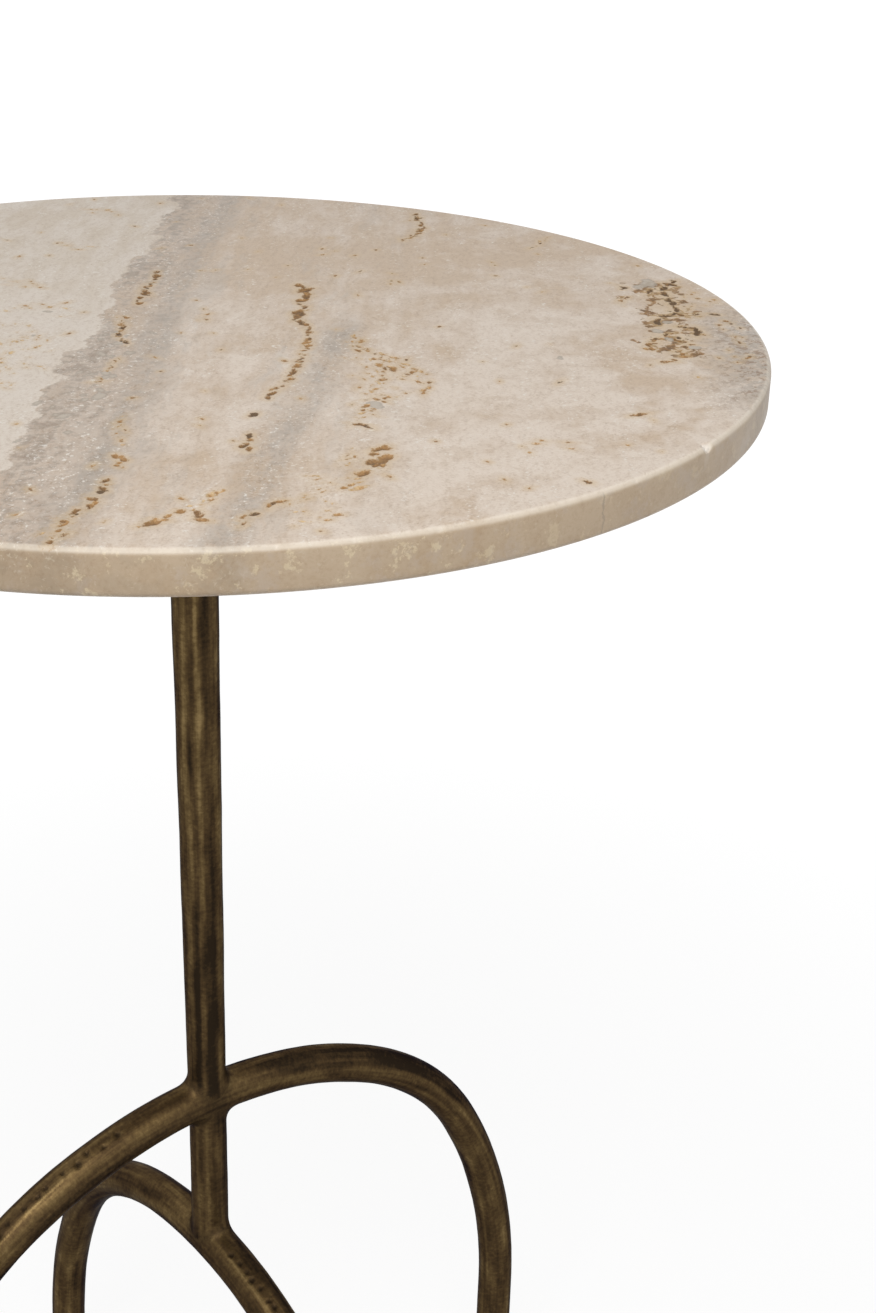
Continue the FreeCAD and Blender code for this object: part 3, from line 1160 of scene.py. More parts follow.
@dataclass
class StoneTop:
    """The travertine slab: rounded arrises, recessed pits and a chipped rim.

    The order of the runs is the order of the random draws.
    """

    node: str = "travertine_top"
    arris: float = 0.0022
    arris_rows: int = 6
    sides: int = 256
    face_slack: float = 0.000022
    level: float = 0.999
    sharp: float = 35.0
    drill_sides: int = 48
    insert_clearance: float = 0.0001
    pit_depth: float = 0.0007
    pit_shore: float = 0.0009
    pit_reach: float = 0.004
    pit_fade: Span = (0.002, 0.001)
    open_tones: Span = (-0.6, -0.3)
    grid_reaches: tuple[float, ...] = (0.003, 0.0012, 0.0003)
    warp: float = 0.0006
    warp_size: float = 0.0024
    warp_shifts: Span = (0.0, 31.7)
    seed: int = 7
    runs: tuple[PitRun, ...] = pit_runs(
        # The long brown run from the middle to the near rim
        (BROWN, 2.6, 2.4, 0.6, 2.1, (63, 23), (57.5, 12.5), (47, -2.5), (35.5, -14)),
        (BROWN, 2.3, 1.2, 0.5, 1.4, (35.5, -14), (33, -25), (21, -42.5), (3.5, -61.5), (-7, -71),
         (-16, -76), (-22.5, -81.5)),
        (UMBER, 1.5, 1.2, 0.8, 1.4, (-32.5, -91.5), (-34, -93.5)),
        (BROWN, 2.5, 1.2, 0.7, 1.5, (-43.5, -105), (-52.5, -117)),
        # The amber swarm to the right of it
        (AMBER, 1.6, 3.8, 0.4, 1.1, (41, -43), (35, -48), (37, -66), (35, -73), (33, -85), (30, -93),
         (21, -102)),
        (BROWN, 4.5, 4, 0.5, 1.2, (36, -47), (31, -67), (28, -92)),
        (AMBER, 1.6, 10, 0.3, 0.6, (30, -60), (22, -80), (10, -100)),
        (AMBER, 1.8, 10, 0.3, 0.6, (-20, -140), (-45, -150), (-70, -166)),
        (AMBER, 1.8, 3.4, 0.4, 1.1, (31, -67), (27, -75), (18, -86), (11, -92), (3, -104), (-12, -116)),
        (FILLED, 1.5, 1, 1.6, 2.2, (4, -103), (2, -106)),
        (BROWN, 3, 1.2, 0.7, 1.3, (-11, -115), (-12, -123)),
        # Clusters by the near rim
        (AMBER, 2, 2, 0.8, 2.2, (-18, -136), (-26, -146), (-30, -149)),
        (AMBER, 2.2, 2.2, 0.6, 2, (-33, -152), (-39, -154), (-47, -158.5)),
        (AMBER, 3, 3, 0.4, 1.2, (-58, -164), (-60, -168), (-58, -174), (-72, -170)),
        (BROWN, 2.2, 1.6, 0.6, 1.3, (-66, -154), (-71, -157)),
        (BROWN, 3, 2, 0.6, 1.3, (-78, -160), (-85, -163)),
        # The run to the left of them
        (AMBER, 3, 1.6, 0.3, 0.7, (-67, -71), (-81, -94)),
        (AMBER, 2.5, 1.4, 0.5, 1.5, (-84, -98), (-86.5, -104), (-90, -112)),
        (BROWN, 2.6, 2.2, 0.5, 1.5, (-96, -114), (-102, -123), (-120, -136), (-132, -146)),
        (AMBER, 2.2, 1.8, 0.5, 1.4, (-76, -139), (-83, -144), (-91, -147)),
        (AMBER, 2.2, 1.2, 0.8, 1.7, (-93, -147), (-98, -149), (-106, -151)),
        (BROWN, 2, 1, 0.8, 1.3, (-89, -150), (-91, -155)),
        # The honeycomb by the right-hand rim
        (UMBER, 2.5, 0.8, 0.7, 1.2, (159, -49), (164, -45)),
        (BROWN, 2.2, 1.2, 0.4, 0.9, (147, -60.5), (156, -57)),
        (UMBER, 2.3, 1.4, 0.6, 1.6, (163, -60), (167, -55), (173, -55.5), (181, -52), (187, -48)),
        (UMBER, 2.2, 1.4, 0.6, 1.5, (169, -61), (162, -73), (157, -81), (150, -82.5), (139, -87)),
        (UMBER, 4.5, 3, 0.5, 1.4, (153, -75), (156, -87.5), (166, -90)),
        (UMBER, 2.4, 1.4, 0.7, 1.5, (143, -94.5), (147, -99.5), (142, -107)),
        (BROWN, 2.1, 1.2, 0.6, 1.4, (136, -100), (127, -102), (120, -104.5), (115, -110)),
        (BROWN, 2.2, 1.2, 0.6, 1.4, (134, -101), (131, -107), (132, -112.5), (123, -117), (120, -123)),
        (BROWN, 2.2, 1, 0.7, 1.4, (107, -122), (115, -123)),
        (FILLED, 8, 2, 1.4, 2.4, (145, -87), (135, -91), (127, -109), (130, -119)),
        (FILLED, 3, 1, 1.8, 2.6, (176, -45), (170, -49)),
        (BROWN, 3.8, 10, 0.4, 1, (178, -62), (172, -80), (160, -105), (142, -126), (128, -136)),
        # Two runs at the far right
        (BROWN, 1.6, 1, 0.5, 1.2, (169, 90), (163, 83), (155, 67), (145, 60), (134, 54)),
        (BROWN, 2.8, 0.8, 0.3, 0.7, (190, 29), (180, 22), (169, 17)),
        # The run in the taupe band and the filled pits round it
        (BROWN, 2.4, 2, 0.5, 1.4, (27.5, 64.5), (17, 54), (9, 44), (-1, 33)),
        (BROWN, 2.1, 1, 0.4, 1.1, (-12.5, 21), (-20, 10), (-27, 1.5), (-28, -7)),
        (BROWN, 2.2, 1, 0.3, 0.6, (-40, -20), (-46, -28), (-57, -38.5)),
        (FILLED, 4, 10, 0.6, 1.8, (-20, 12), (-62, -44), (-92, -74)),
        # The pale zone
        (OCHRE, 1.2, 7, 0.3, 0.8, (-36, 48), (-28, 38)),
        (OCHRE, 1.3, 10, 0.3, 0.8, (-45, 30), (-60, 8), (-88, -26)),
        (AMBER, 2, 12, 0.3, 0.9, (-66, 20), (-100, -20)),
        (AMBER, 1.8, 6, 0.3, 0.8, (-26, 84), (-18, 72)),
        (AMBER, 2.5, 4, 0.4, 0.8, (55, 165), (63, 157)),
        (AMBER, 2.5, 4, 0.4, 0.8, (14, 122), (22, 112)),
        # The left part, outside the picture
        (AMBER, 3.2, 8, 0.4, 1.2, (-40, 165), (-60, 130), (-95, 95), (-120, 60)),
        (BROWN, 2.8, 5, 0.5, 1.5, (-140, 50), (-150, 10), (-172, -30)),
        # Single pits on the right
        (AMBER, 2.5, 4, 0.4, 1, (22, -158), (29, -166)),
        (BROWN, 3, 0.6, 1, 1.4, (64, -157), (67, -158)),
        (FILLED, 3, 0.6, 0.5, 0.9, (81.5, -101), (84, -99)),
        (UMBER, 3, 0.4, 0.7, 1, (12, -190), (14, -193)),
        (UMBER, 3, 0.8, 0.4, 0.7, (63, -121), (67, -119)),
    )
    loose_pits: int = 150
    loose_size: Span = (0.0003, 0.0007)
    loose_stretch: Span = (1.0, 2.2)
    loose_dark: Span = (0.0, 0.7)
    loose_turn: float = 0.87
    loose_turn_spread: float = 0.4
    chip_turn: float = -71.5
    chip_reach: float = 0.0032
    chip_depth: float = 0.0011
    chip_core: float = 0.3
    chip_rough: float = 0.6
    chip_grain: float = 0.0011
    small_chips: int = 26
    small_chip_reach: Span = (0.0008, 0.0018)
    small_chip_depth: Span = (0.0002, 0.0005)
    low_z: float = field(init=False)
    high_z: float = field(init=False)
    radius: float = field(init=False)
    pits: list[Pit] = field(init=False)
    chips: list[tuple[float, float, float]] = field(init=False)

    def __post_init__(self) -> None:
        """Takes the slab's size from the frame and lays out its pits and chips."""
        low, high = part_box(self.node)
        self.low_z, self.high_z = low.z, high.z
        self.radius = (high.x - low.x) / 2
        chance = np.random.default_rng(self.seed)
        self.pits = [pit for run in self.runs for pit in run.scatter(chance)]
        for _ in range(self.loose_pits):
            turn = chance.uniform(0, 2 * math.pi)
            reach = (self.radius - 2 * self.arris) * math.sqrt(chance.uniform())
            size = chance.uniform(*self.loose_size)
            lie = self.loose_turn + chance.normal(0, self.loose_turn_spread)
            stretch = chance.uniform(*self.loose_stretch)
            dark = chance.uniform(*self.loose_dark)
            self.pits.append(Pit(reach * math.cos(turn), reach * math.sin(turn), size, stretch, lie, dark))
        self.chips = [(math.radians(self.chip_turn), self.chip_reach, self.chip_depth)]
        for _ in range(self.small_chips):
            turn = chance.uniform(0, 2 * math.pi)
            reach = chance.uniform(*self.small_chip_reach)
            self.chips.append((turn, reach, chance.uniform(*self.small_chip_depth)))

    def build(self, material: Material) -> None:
        """Models the slab and puts it in the CAD node's place.

        Args:
            material: the finish that it wears.
        """
        height = self.high_z - self.low_z
        slab = Workpiece.cylinder("stone_top", self.radius, (0, 0, self.low_z), height, self.sides)
        slab.round_rims(height, self.arris, self.arris_rows)
        self.drill(slab)
        self.grid_top(slab)
        self.recess(slab)
        slab.smooth(self.sharp)
        slab.hand_over(material, TABLE_BODY, self.node, "travertine")

    def drill(self, slab: Workpiece) -> None:
        """Bores the blind holes that the inserts sit in.

        Args:
            slab: the rounded slab.
        """
        low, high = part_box("top_inserts")
        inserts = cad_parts["top_inserts"].data.vertices
        places = np.array([vertex.co for vertex in inserts])
        depth = high.z - low.z + self.insert_clearance
        cutters = []
        for side_x in (-1, 1):
            for side_y in (-1, 1):
                ring = places[(places[:, 0] * side_x > 0) & (places[:, 1] * side_y > 0)]
                middle = (ring.min(axis=0) + ring.max(axis=0)) / 2
                radius = (ring[:, 0].max() - ring[:, 0].min()) / 2 + self.insert_clearance
                foot = (middle[0], middle[1], low.z - depth)
                cutters.append(Workpiece.cylinder("drill", radius, foot, 2 * depth, self.drill_sides))
        cutters[0].take_in(cutters[1:])
        slab.modify("BOOLEAN", operation="DIFFERENCE", solver="EXACT", object=cutters[0].piece)
        cutters[0].scrap()

    def grid_top(self, slab: Workpiece) -> None:
        """Gives the upper face a square grid, fine where there are pits, and the rim more rows.

        Args:
            slab: the drilled slab.
        """
        face_z = self.high_z - self.face_slack
        top = (slab.face_rows("center")[:, 2] > face_z) & (slab.face_rows("normal")[:, 2] > self.level)
        with slab.editing(Pick.FACES, top):
            bpy.ops.mesh.delete(type="ONLY_FACE")
        with slab.editing(Pick.EDGES, slab.edge_middles()[:, 2] > face_z):
            bpy.ops.mesh.fill_grid(span=self.sides // 4)
        above = slab.face_rows("center")[:, 2] > self.low_z + self.arris
        with slab.editing(Pick.FACES, above):
            bpy.ops.mesh.subdivide(number_cuts=1)
        for reach in self.grid_reaches:
            centres = slab.face_rows("center")
            near = (self.pit_field(centres[:, :2])[0] < reach) & (centres[:, 2] > face_z)
            near |= self.chip_field(centres) > 0
            with slab.editing(Pick.FACES, near):
                bpy.ops.mesh.subdivide(number_cuts=1)
        slab.mend_normals()

    def pit_field(self, plan: Array) -> tuple[Array, Array]:
        """The distance from each place to the nearest pit's rim, and that pit's darkness.

        Args:
            plan: X and Y, one row for each place.

        Returns:
            The distances, at most the pits' reach, and the darknesses.
        """
        gap = np.full(len(plan), self.pit_reach)
        dark = np.zeros(len(plan))
        for pit in self.pits:
            pit_gap = pit.gap(plan)
            dark = np.where(pit_gap < gap, pit.dark, dark)
            gap = np.minimum(gap, pit_gap)
        return gap, dark

    def chip_field(self, places: Array) -> Array:
        """How far the rim is broken back at each place.

        Args:
            places: one row each.

        Returns:
            The depths, 0 where nothing is broken.
        """
        broken = np.zeros(len(places))
        for turn, reach, depth in self.chips:
            place = np.array([self.radius * math.cos(turn), self.radius * math.sin(turn), self.high_z])
            gap = np.linalg.norm(places - place, axis=1)
            broken = np.maximum(broken, depth * (1 - fade(gap, reach * self.chip_core, reach)))
        return broken

    def recess(self, slab: Workpiece) -> None:
        """Sinks the pits, breaks the chips out of the rim and stores the pits for the finish.

        Args:
            slab: the slab with its grid.
        """
        points = slab.points()
        warp = np.stack([ripple(points / self.warp_size + shift) for shift in self.warp_shifts], axis=1)
        gap, dark = self.pit_field(points[:, :2] + warp * self.warp)
        top = fade(points[:, 2], self.high_z - self.pit_fade[0], self.high_z - self.pit_fade[1])
        gap = self.pit_reach + (gap - self.pit_reach) * top
        chip = self.chip_field(points) * (1 + self.chip_rough * ripple(points / self.chip_grain))
        slab.store("pits", np.stack([gap / MM, dark, np.clip(chip / self.chip_depth, 0, 1)], axis=1))
        open_pit = fade(dark, *self.open_tones)
        points[:, 2] -= self.pit_depth * open_pit * (1 - fade(gap, -self.pit_shore, 0.0))
        inwards = points * (-1, -1, 0)
        inwards /= np.maximum(np.linalg.norm(inwards, axis=1, keepdims=True), MM)
        points += (inwards + (0, 0, -1)) * chip[:, None] / math.sqrt(2)
        slab.move_to(points)


@dataclass(frozen=True)
class Bend:
    """One arc of a bent bar: its radius, its centre and its turn from the vertical."""

    radius: float
    centre_u: float
    centre_z: float
    start: float
    stop: float


class Plane(Enum):
    """The upright plane that an arch stands in, by the axis that its legs lie on."""

    ALONG_X = 0
    ALONG_Y = 1


@dataclass(frozen=True)
class BarPlaces:
    """Where points lie on a bar: off its centre line, outwards and sideways, and along it from the crown."""

    outward: Array
    sideways: Array
    along: Array
    gap: Array
    normal: Array


@dataclass(frozen=True)
class DentRow:
    """A row of hammer dents on one side of an arch.

    Args:
        start: the distance along the bar from the crown, minus on the second side.
        stop: where the row ends.
        turn: degrees round the bar from its outer side.
        count: how many dents there are.
    """

    start: float
    stop: float
    turn: float
    count: int


@dataclass(frozen=True)
class RubbedBand:
    """A stripe along a bar, lighter or darker: partly patina that rubbing left, partly painted highlight,
    reflection and shade.

    Args:
        turn: degrees round the bar, from the outer side of an arch or from +X on an upright.
        half_width: degrees to each side.
        tone: from -1, dark, to 1, gold.
        start: where it starts along the bar.
        stop: where it ends.
    """

    core: ClassVar[float] = 0.3
    edge: ClassVar[float] = 1.7
    sway: ClassVar[float] = 9.0
    sway_size: ClassVar[Size] = (0.02, 0.02, 0.035)
    turn: float
    half_width: float
    tone: float
    start: float = -1.0
    stop: float = 1.0
    fade_length: float = 0.015

    def share(self, turn: Array) -> Array:
        """How much of the stripe lies at each angle."""
        off = np.abs((turn - self.turn + HALF_TURN) % (2 * HALF_TURN) - HALF_TURN)
        return 1 - fade(off, self.half_width * self.core, self.half_width * self.edge)

    def fading(self, along: Array) -> Array:
        """How much of the stripe is left at each distance along the bar."""
        rise = fade(along, self.start - self.fade_length, self.start + self.fade_length)
        return rise * (1 - fade(along, self.stop - self.fade_length, self.stop + self.fade_length))

    @staticmethod
    def rub_and_light(bands: Sequence["RubbedBand"], turn: Array, along: Array) -> Array:
        """How dark or gold a set of stripes leaves each place, from -1 to 1."""
        return np.clip(sum(band.share(turn) * band.tone * band.fading(along) for band in bands), -1, 1)

    @classmethod
    def rub_and_light_upright(cls, bands: Sequence["RubbedBand"], points: Array) -> Array:
        """How dark or gold the stripes of an upright leave each point.

        Args:
            bands: the stripes.
            points: one row each.

        Returns:
            The tones, from -1 to 1.
        """
        sway = cls.sway * ripple(points / cls.sway_size)
        turn = np.degrees(np.arctan2(points[:, 1], points[:, 0])) + sway
        return cls.rub_and_light(bands, turn, points[:, 2])


Bands = tuple[RubbedBand, ...]


def stripes(*rows: Sequence[float]) -> Bands:
    """Stripes of rubbed patina and painted light by their turn, half width and tone, and where they start and
    stop.
    """
    return tuple(RubbedBand(*row) for row in rows)


@dataclass(frozen=True)
class Collar:
    """The stub of an upright bar on an arch's crown: its radius, 1 above or -1 below, and its stripes."""

    radius: float
    side: int
    bands: Bands


@dataclass
class Forging:
    """The marks that forging and rubbing leave on a bar."""

    broad: float = 0.00022
    broad_size: Size = (0.007, 0.007, 0.030)
    fine: float = 0.00005
    fine_size: Size = (0.003, 0.003, 0.006)
    fine_shift: float = 17.3
    dent_depth: float = 0.0007
    dent_radius: float = 0.0018
    dent_core: float = 0.4
    dent_sizes: Span = (0.6, 1.2)
    dent_jitter: Span = (0.3, 0.7)
    dent_turn_spread: float = 0.1
    seed: int = 11

    def marks(self, grain: Array) -> Array:
        """How far the skin stands out at each place on a bar.

        Args:
            grain: two distances off the centre line and one along it, one row each.

        Returns:
            The height over the true round.
        """
        broad = ripple(grain / self.broad_size)
        fine = ripple(grain / self.fine_size + self.fine_shift)
        return broad * self.broad + fine * self.fine

    def dents(self, places: BarPlaces, rows: Sequence[DentRow], radius: float) -> Array:
        """How deep in a dent each place is, from 0 to 1.

        Args:
            places: the places on the bar.
            rows: the rows of dents.
            radius: the bar's radius.

        Returns:
            The share of the dents' depth.
        """
        chance = np.random.default_rng(self.seed)
        deep = np.zeros(len(places.along))
        around = np.arctan2(places.sideways, places.outward)
        for row in rows:
            for share in (np.arange(row.count) + chance.uniform(*self.dent_jitter, row.count)) / row.count:
                along = row.start + (row.stop - row.start) * share
                turn = math.radians(row.turn) + chance.normal(0, self.dent_turn_spread)
                size = self.dent_radius * chance.uniform(*self.dent_sizes)
                gap = np.hypot(places.along - along, (around - turn) * radius)
                deep = np.maximum(deep, 1 - fade(gap, size * self.dent_core, size))
        return deep


@dataclass
class Arch:
    """A bar bent to an arch, with the collars of the uprights ground into its crown."""

    node: str
    plane: Plane
    radii: Size
    turns: Span
    collars: tuple[Collar, ...]
    dent_rows: tuple[DentRow, ...]
    bands: Bands
    weld_radius: float = 0.005
    weld_fill: float = 1.17
    collar_length: float = 0.0152
    voxel: float = 0.00095
    overrun: float = 0.003
    ring_points: int = 40
    arc_steps: int = 14
    mirror_touch: float = 1e-5
    probe: float = 2e-5
    draw_rounds: int = 4
    least_slope: float = 0.2
    band_sway: float = 10.0
    sway_size: float = 0.03
    collar_fade: Span = (-0.002, 0.004)
    crown_fade: Span = (0.010, 0.016)
    calm: float = 0.7
    calm_width: float = 0.004
    patina_and_crevice_shade: float = 0.45
    crevice_shade_width: float = 0.0035
    sole_normal: float = -0.9
    stud_hole: float = 0.00305
    stud_hole_depth: float = 0.020
    sharp: float = 40.0
    leg_end_z: float = field(init=False)
    leg_top_z: float = field(init=False)
    apex_z: float = field(init=False)
    half_span: float = field(init=False)
    radius: float = field(init=False)
    bends: list[Bend] = field(init=False)

    def __post_init__(self) -> None:
        """Works out the bends from the frame's box."""
        low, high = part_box(self.node)
        self.leg_end_z = low.z
        self.apex_z = high.z - self.collar_length
        self.radius = (high[1 - self.plane.value] - low[1 - self.plane.value]) / 2
        turns = [0.0, *(math.radians(turn) for turn in self.turns), math.pi / 2]
        u, z = 0.0, self.apex_z
        self.bends = []
        for radius, start, stop in zip(self.radii, turns, turns[1:]):
            centre_u = u - radius * math.sin(start)
            centre_z = z - radius * math.cos(start)
            u = centre_u + radius * math.sin(stop)
            z = centre_z + radius * math.cos(stop)
            self.bends.append(Bend(radius, centre_u, centre_z, start, stop))
        self.half_span = u
        self.leg_top_z = z

    def build(self, forging: Forging, material: Material) -> None:
        """Models the arch and puts it in the CAD node's place.

        Args:
            forging: the marks that it gets.
            material: the finish that it wears.
        """
        bar = self.bent_bar()
        bar.take_in([self.collar_stub(collar) for collar in self.collars])
        bar.modify("REMESH", mode="VOXEL", voxel_size=self.voxel, adaptivity=0.0)
        self.forge(bar, forging)
        self.cut_ends(bar)
        self.bore_legs(bar)
        bar.smooth(self.sharp)
        bar.hand_over(material, TABLE_BODY, self.node, "antique_brass")

    def spot(self, u: float, z: float) -> Vector:
        """A point in the arch's plane."""
        return Vector((u, 0, z)) if self.plane is Plane.ALONG_X else Vector((0, u, z))

    def bent_bar(self) -> Workpiece:
        """The bar alone: a ring spun along the bends of one side, run down the leg and mirrored.

        Returns:
            The bar.
        """
        across = (0, math.pi / 2, 0) if self.plane is Plane.ALONG_X else (math.pi / 2, 0, 0)
        crown = (0, 0, self.apex_z)
        bar = Workpiece.ring(self.node + "_bar", self.radius, crown, self.ring_points, across)
        axis = (0, -1, 0) if self.plane is Plane.ALONG_X else (1, 0, 0)
        with bar.editing(Pick.POINTS, bar.everything()):
            for bend in self.bends:
                bpy.ops.mesh.spin(steps=self.arc_steps, angle=bend.stop - bend.start, axis=axis,
                                  center=self.spot(bend.centre_u, bend.centre_z))
            drop = self.leg_top_z - self.leg_end_z + self.overrun
            bar.extrude((0, 0, -drop))
            bpy.ops.mesh.edge_face_add()
        mirror = [self.plane is plane for plane in Plane] + [False]
        bar.modify("MIRROR", use_axis=mirror, use_mirror_merge=True, merge_threshold=self.mirror_touch)
        bar.mend_normals()
        return bar

    def collar_stub(self, collar: Collar) -> Workpiece:
        """One collar, from the middle of the crown to a little past its end.

        Args:
            collar: the collar.

        Returns:
            The stub.
        """
        length = self.collar_length + self.overrun
        foot = self.apex_z if collar.side > 0 else self.apex_z - length
        return Workpiece.cylinder("collar", collar.radius, (0, 0, foot), length, self.ring_points)

    def places(self, points: Array) -> BarPlaces:
        """Where points lie on the bent bar.

        Args:
            points: one row each.

        Returns:
            Their places on the bar.
        """
        lane = self.plane.value
        side = np.where(points[:, lane] < 0, -1.0, 1.0)
        u = np.abs(points[:, lane])
        q = points[:, 1 - lane]
        z = points[:, 2]
        best = np.full(len(points), np.inf)
        out_u, out_z, turn_at, along = (np.zeros(len(points)) for _ in range(4))
        run = 0.0
        # The straight leg comes last and has no bend
        for bend in [*self.bends, None]:
            if bend is None:
                near_u = np.full(len(points), self.half_span)
                near_z = np.minimum(z, self.leg_top_z)
                turn = np.full(len(points), math.pi / 2)
                reach = run + self.leg_top_z - near_z
            else:
                turn = np.clip(np.arctan2(u - bend.centre_u, z - bend.centre_z), bend.start, bend.stop)
                near_u = bend.centre_u + bend.radius * np.sin(turn)
                near_z = bend.centre_z + bend.radius * np.cos(turn)
                reach = run + bend.radius * (turn - bend.start)
                run += bend.radius * (bend.stop - bend.start)
            gap = np.hypot(u - near_u, z - near_z)
            closer = gap < best
            best = np.where(closer, gap, best)
            out_u = np.where(closer, u - near_u, out_u)
            out_z = np.where(closer, z - near_z, out_z)
            turn_at = np.where(closer, turn, turn_at)
            along = np.where(closer, reach, along)
        gap = np.maximum(np.hypot(best, q), TINY)
        normal = np.zeros((len(points), 3))
        normal[:, lane] = out_u * side / gap
        normal[:, 1 - lane] = q / gap
        normal[:, 2] = out_z / gap
        outward = out_u * np.sin(turn_at) + out_z * np.cos(turn_at)
        return BarPlaces(outward, q, along * side, gap, normal)

    def skin(self, points: Array) -> Array:
        """The distance from each point to the welded arch's skin, below 0 inside.

        The ground weld fills the corners between bar and collar and dies out where they run level.

        Args:
            points: one row each.

        Returns:
            The distances.
        """
        places = self.places(points)
        distance = places.gap - self.radius
        reach = np.maximum(off_axis(points), TINY)
        level = (points[:, 0] * places.normal[:, 0] + points[:, 1] * places.normal[:, 1]) / reach
        blend = self.weld_fill * self.weld_radius * (1 - np.clip(level, 0, 1) ** 2) + TOUCH
        for collar in self.collars:
            behind = np.maximum(-collar.side * (points[:, 2] - self.apex_z), 0)
            stub = np.hypot(np.maximum(reach - collar.radius, 0), behind)
            stub = np.where(behind > 0, stub, reach - collar.radius)
            overlap = np.maximum(blend - np.abs(distance - stub), 0) / blend
            distance = np.minimum(distance, stub) - overlap * overlap * blend / 4
        return distance

    def drawn(self, points: Array) -> tuple[Array, Array]:
        """Points drawn onto the welded arch's skin.

        Args:
            points: one row each.

        Returns:
            The drawn points, and the way outwards at each.
        """
        probes = np.eye(3) * self.probe
        for _ in range(self.draw_rounds):
            value = self.skin(points)
            rises = [self.skin(points + probe) - self.skin(points - probe) for probe in probes]
            slope = np.stack(rises, axis=1) / (2 * self.probe)
            pull = value / np.maximum((slope ** 2).sum(axis=1), self.least_slope)
            points = points - slope * pull[:, None]
        return points, slope / np.maximum(np.linalg.norm(slope, axis=1, keepdims=True), TOUCH)

    def forge(self, bar: Workpiece, forging: Forging) -> None:
        """Draws the remeshed skin onto the true shape, marks it and stores its grain.

        Args:
            bar: the remeshed arch.
            forging: the marks that it gets.
        """
        points, normal = self.drawn(bar.points())
        places = self.places(points)
        reach = off_axis(points)
        on_collar = np.full(len(points), False)
        root = np.full(len(points), 1.0)
        grain = np.stack([places.outward, places.sideways, places.along], axis=1)
        sway = self.band_sway * ripple(grain / self.sway_size)
        turn = np.degrees(np.arctan2(places.sideways, places.outward)) + sway
        # The stripes: rubbed patina, and painted highlights, reflections and shade
        rub_and_light = RubbedBand.rub_and_light(self.bands, turn, places.along)
        for collar in self.collars:
            beyond = collar.side * (points[:, 2] - self.apex_z) > 0
            lead = places.gap - self.radius - reach + collar.radius
            on_collar |= beyond & (lead > 0)
            root = np.where(beyond, np.minimum(root, np.abs(lead)), root)
            share = np.where(beyond, fade(lead, *self.collar_fade), 0)
            rub_and_light += (RubbedBand.rub_and_light_upright(collar.bands, points) - rub_and_light) * share
        near_crown = 1 - fade(reach, *self.crown_fade)
        grain = np.where(on_collar[:, None], points, grain)
        calm = 1 - self.calm * (1 - fade(root, 0.0, self.calm_width)) * near_crown
        dents = forging.dents(places, self.dent_rows, self.radius) * (1 - near_crown)
        points = points + normal * (forging.marks(grain) * calm - forging.dent_depth * dents)[:, None]
        bar.move_to(points)
        bar.store("grain", grain)
        # Darker towards the root of each collar: patina in the crevice and painted shade where bar and collar
        # meet; the dents keep their dark patina
        patina_and_crevice_shade = self.patina_and_crevice_shade * (1 - fade(root, 0.0, self.crevice_shade_width)) * near_crown
        bar.store("patina_and_crevice_shade", np.maximum(patina_and_crevice_shade, dents))
        bar.store("rub_and_light", rub_and_light)

    def cut_ends(self, bar: Workpiece) -> None:
        """Cuts the collars and the legs off flat.

        Args:
            bar: the forged arch.
        """
        for collar in self.collars:
            points = bar.points()
            stub = off_axis(points) < collar.radius + 2 * self.weld_radius
            stub &= collar.side * (points[:, 2] - self.apex_z) > self.collar_length - self.overrun
            end = (0, 0, self.apex_z + collar.side * self.collar_length)
            bar.cut_off(stub, end, (0, 0, collar.side))
        feet = bar.points()[:, 2] < self.leg_end_z + self.overrun
        bar.cut_off(feet, (0, 0, self.leg_end_z), (0, 0, -1))

    def off_leg(self, points: Array) -> Array:
        """How far points lie off the axis of the leg on their side, outwards and sideways."""
        lane = self.plane.value
        return np.stack([np.abs(points[:, lane]) - self.half_span, points[:, 1 - lane]], axis=1)

    def at_leg_end(self, points: Array) -> Array:
        """Which points lie level with the ends of the legs."""
        return np.abs(points[:, 2] - self.leg_end_z) < TOUCH

    def bore_legs(self, bar: Workpiece) -> None:
        """Bores the ends of the legs for the glide studs.

        Args:
            bar: the arch with its ends cut.
        """
        soles = self.at_leg_end(bar.face_rows("center")) & (bar.face_rows("normal")[:, 2] < self.sole_normal)
        with bar.editing(Pick.FACES, soles):
            bpy.ops.mesh.inset(thickness=self.radius - self.stud_hole, depth=0.0, use_boundary=True)
        points = bar.points()
        lane = self.plane.value
        away = self.off_leg(points)
        gap = np.linalg.norm(away, axis=1)
        mouth = self.at_leg_end(points) & (gap < (self.radius + self.stud_hole) / 2)
        round_off = away[mouth] / gap[mouth, None] * self.stud_hole
        side = np.sign(points[mouth, lane])
        points[mouth, lane] = (self.half_span + round_off[:, 0]) * side
        points[mouth, 1 - lane] = round_off[:, 1]
        bar.move_to(points)
        centres = bar.face_rows("center")
        hole = np.linalg.norm(self.off_leg(centres), axis=1) < self.stud_hole / 2
        with bar.editing(Pick.FACES, hole & self.at_leg_end(centres)):
            bar.extrude((0, 0, self.stud_hole_depth))


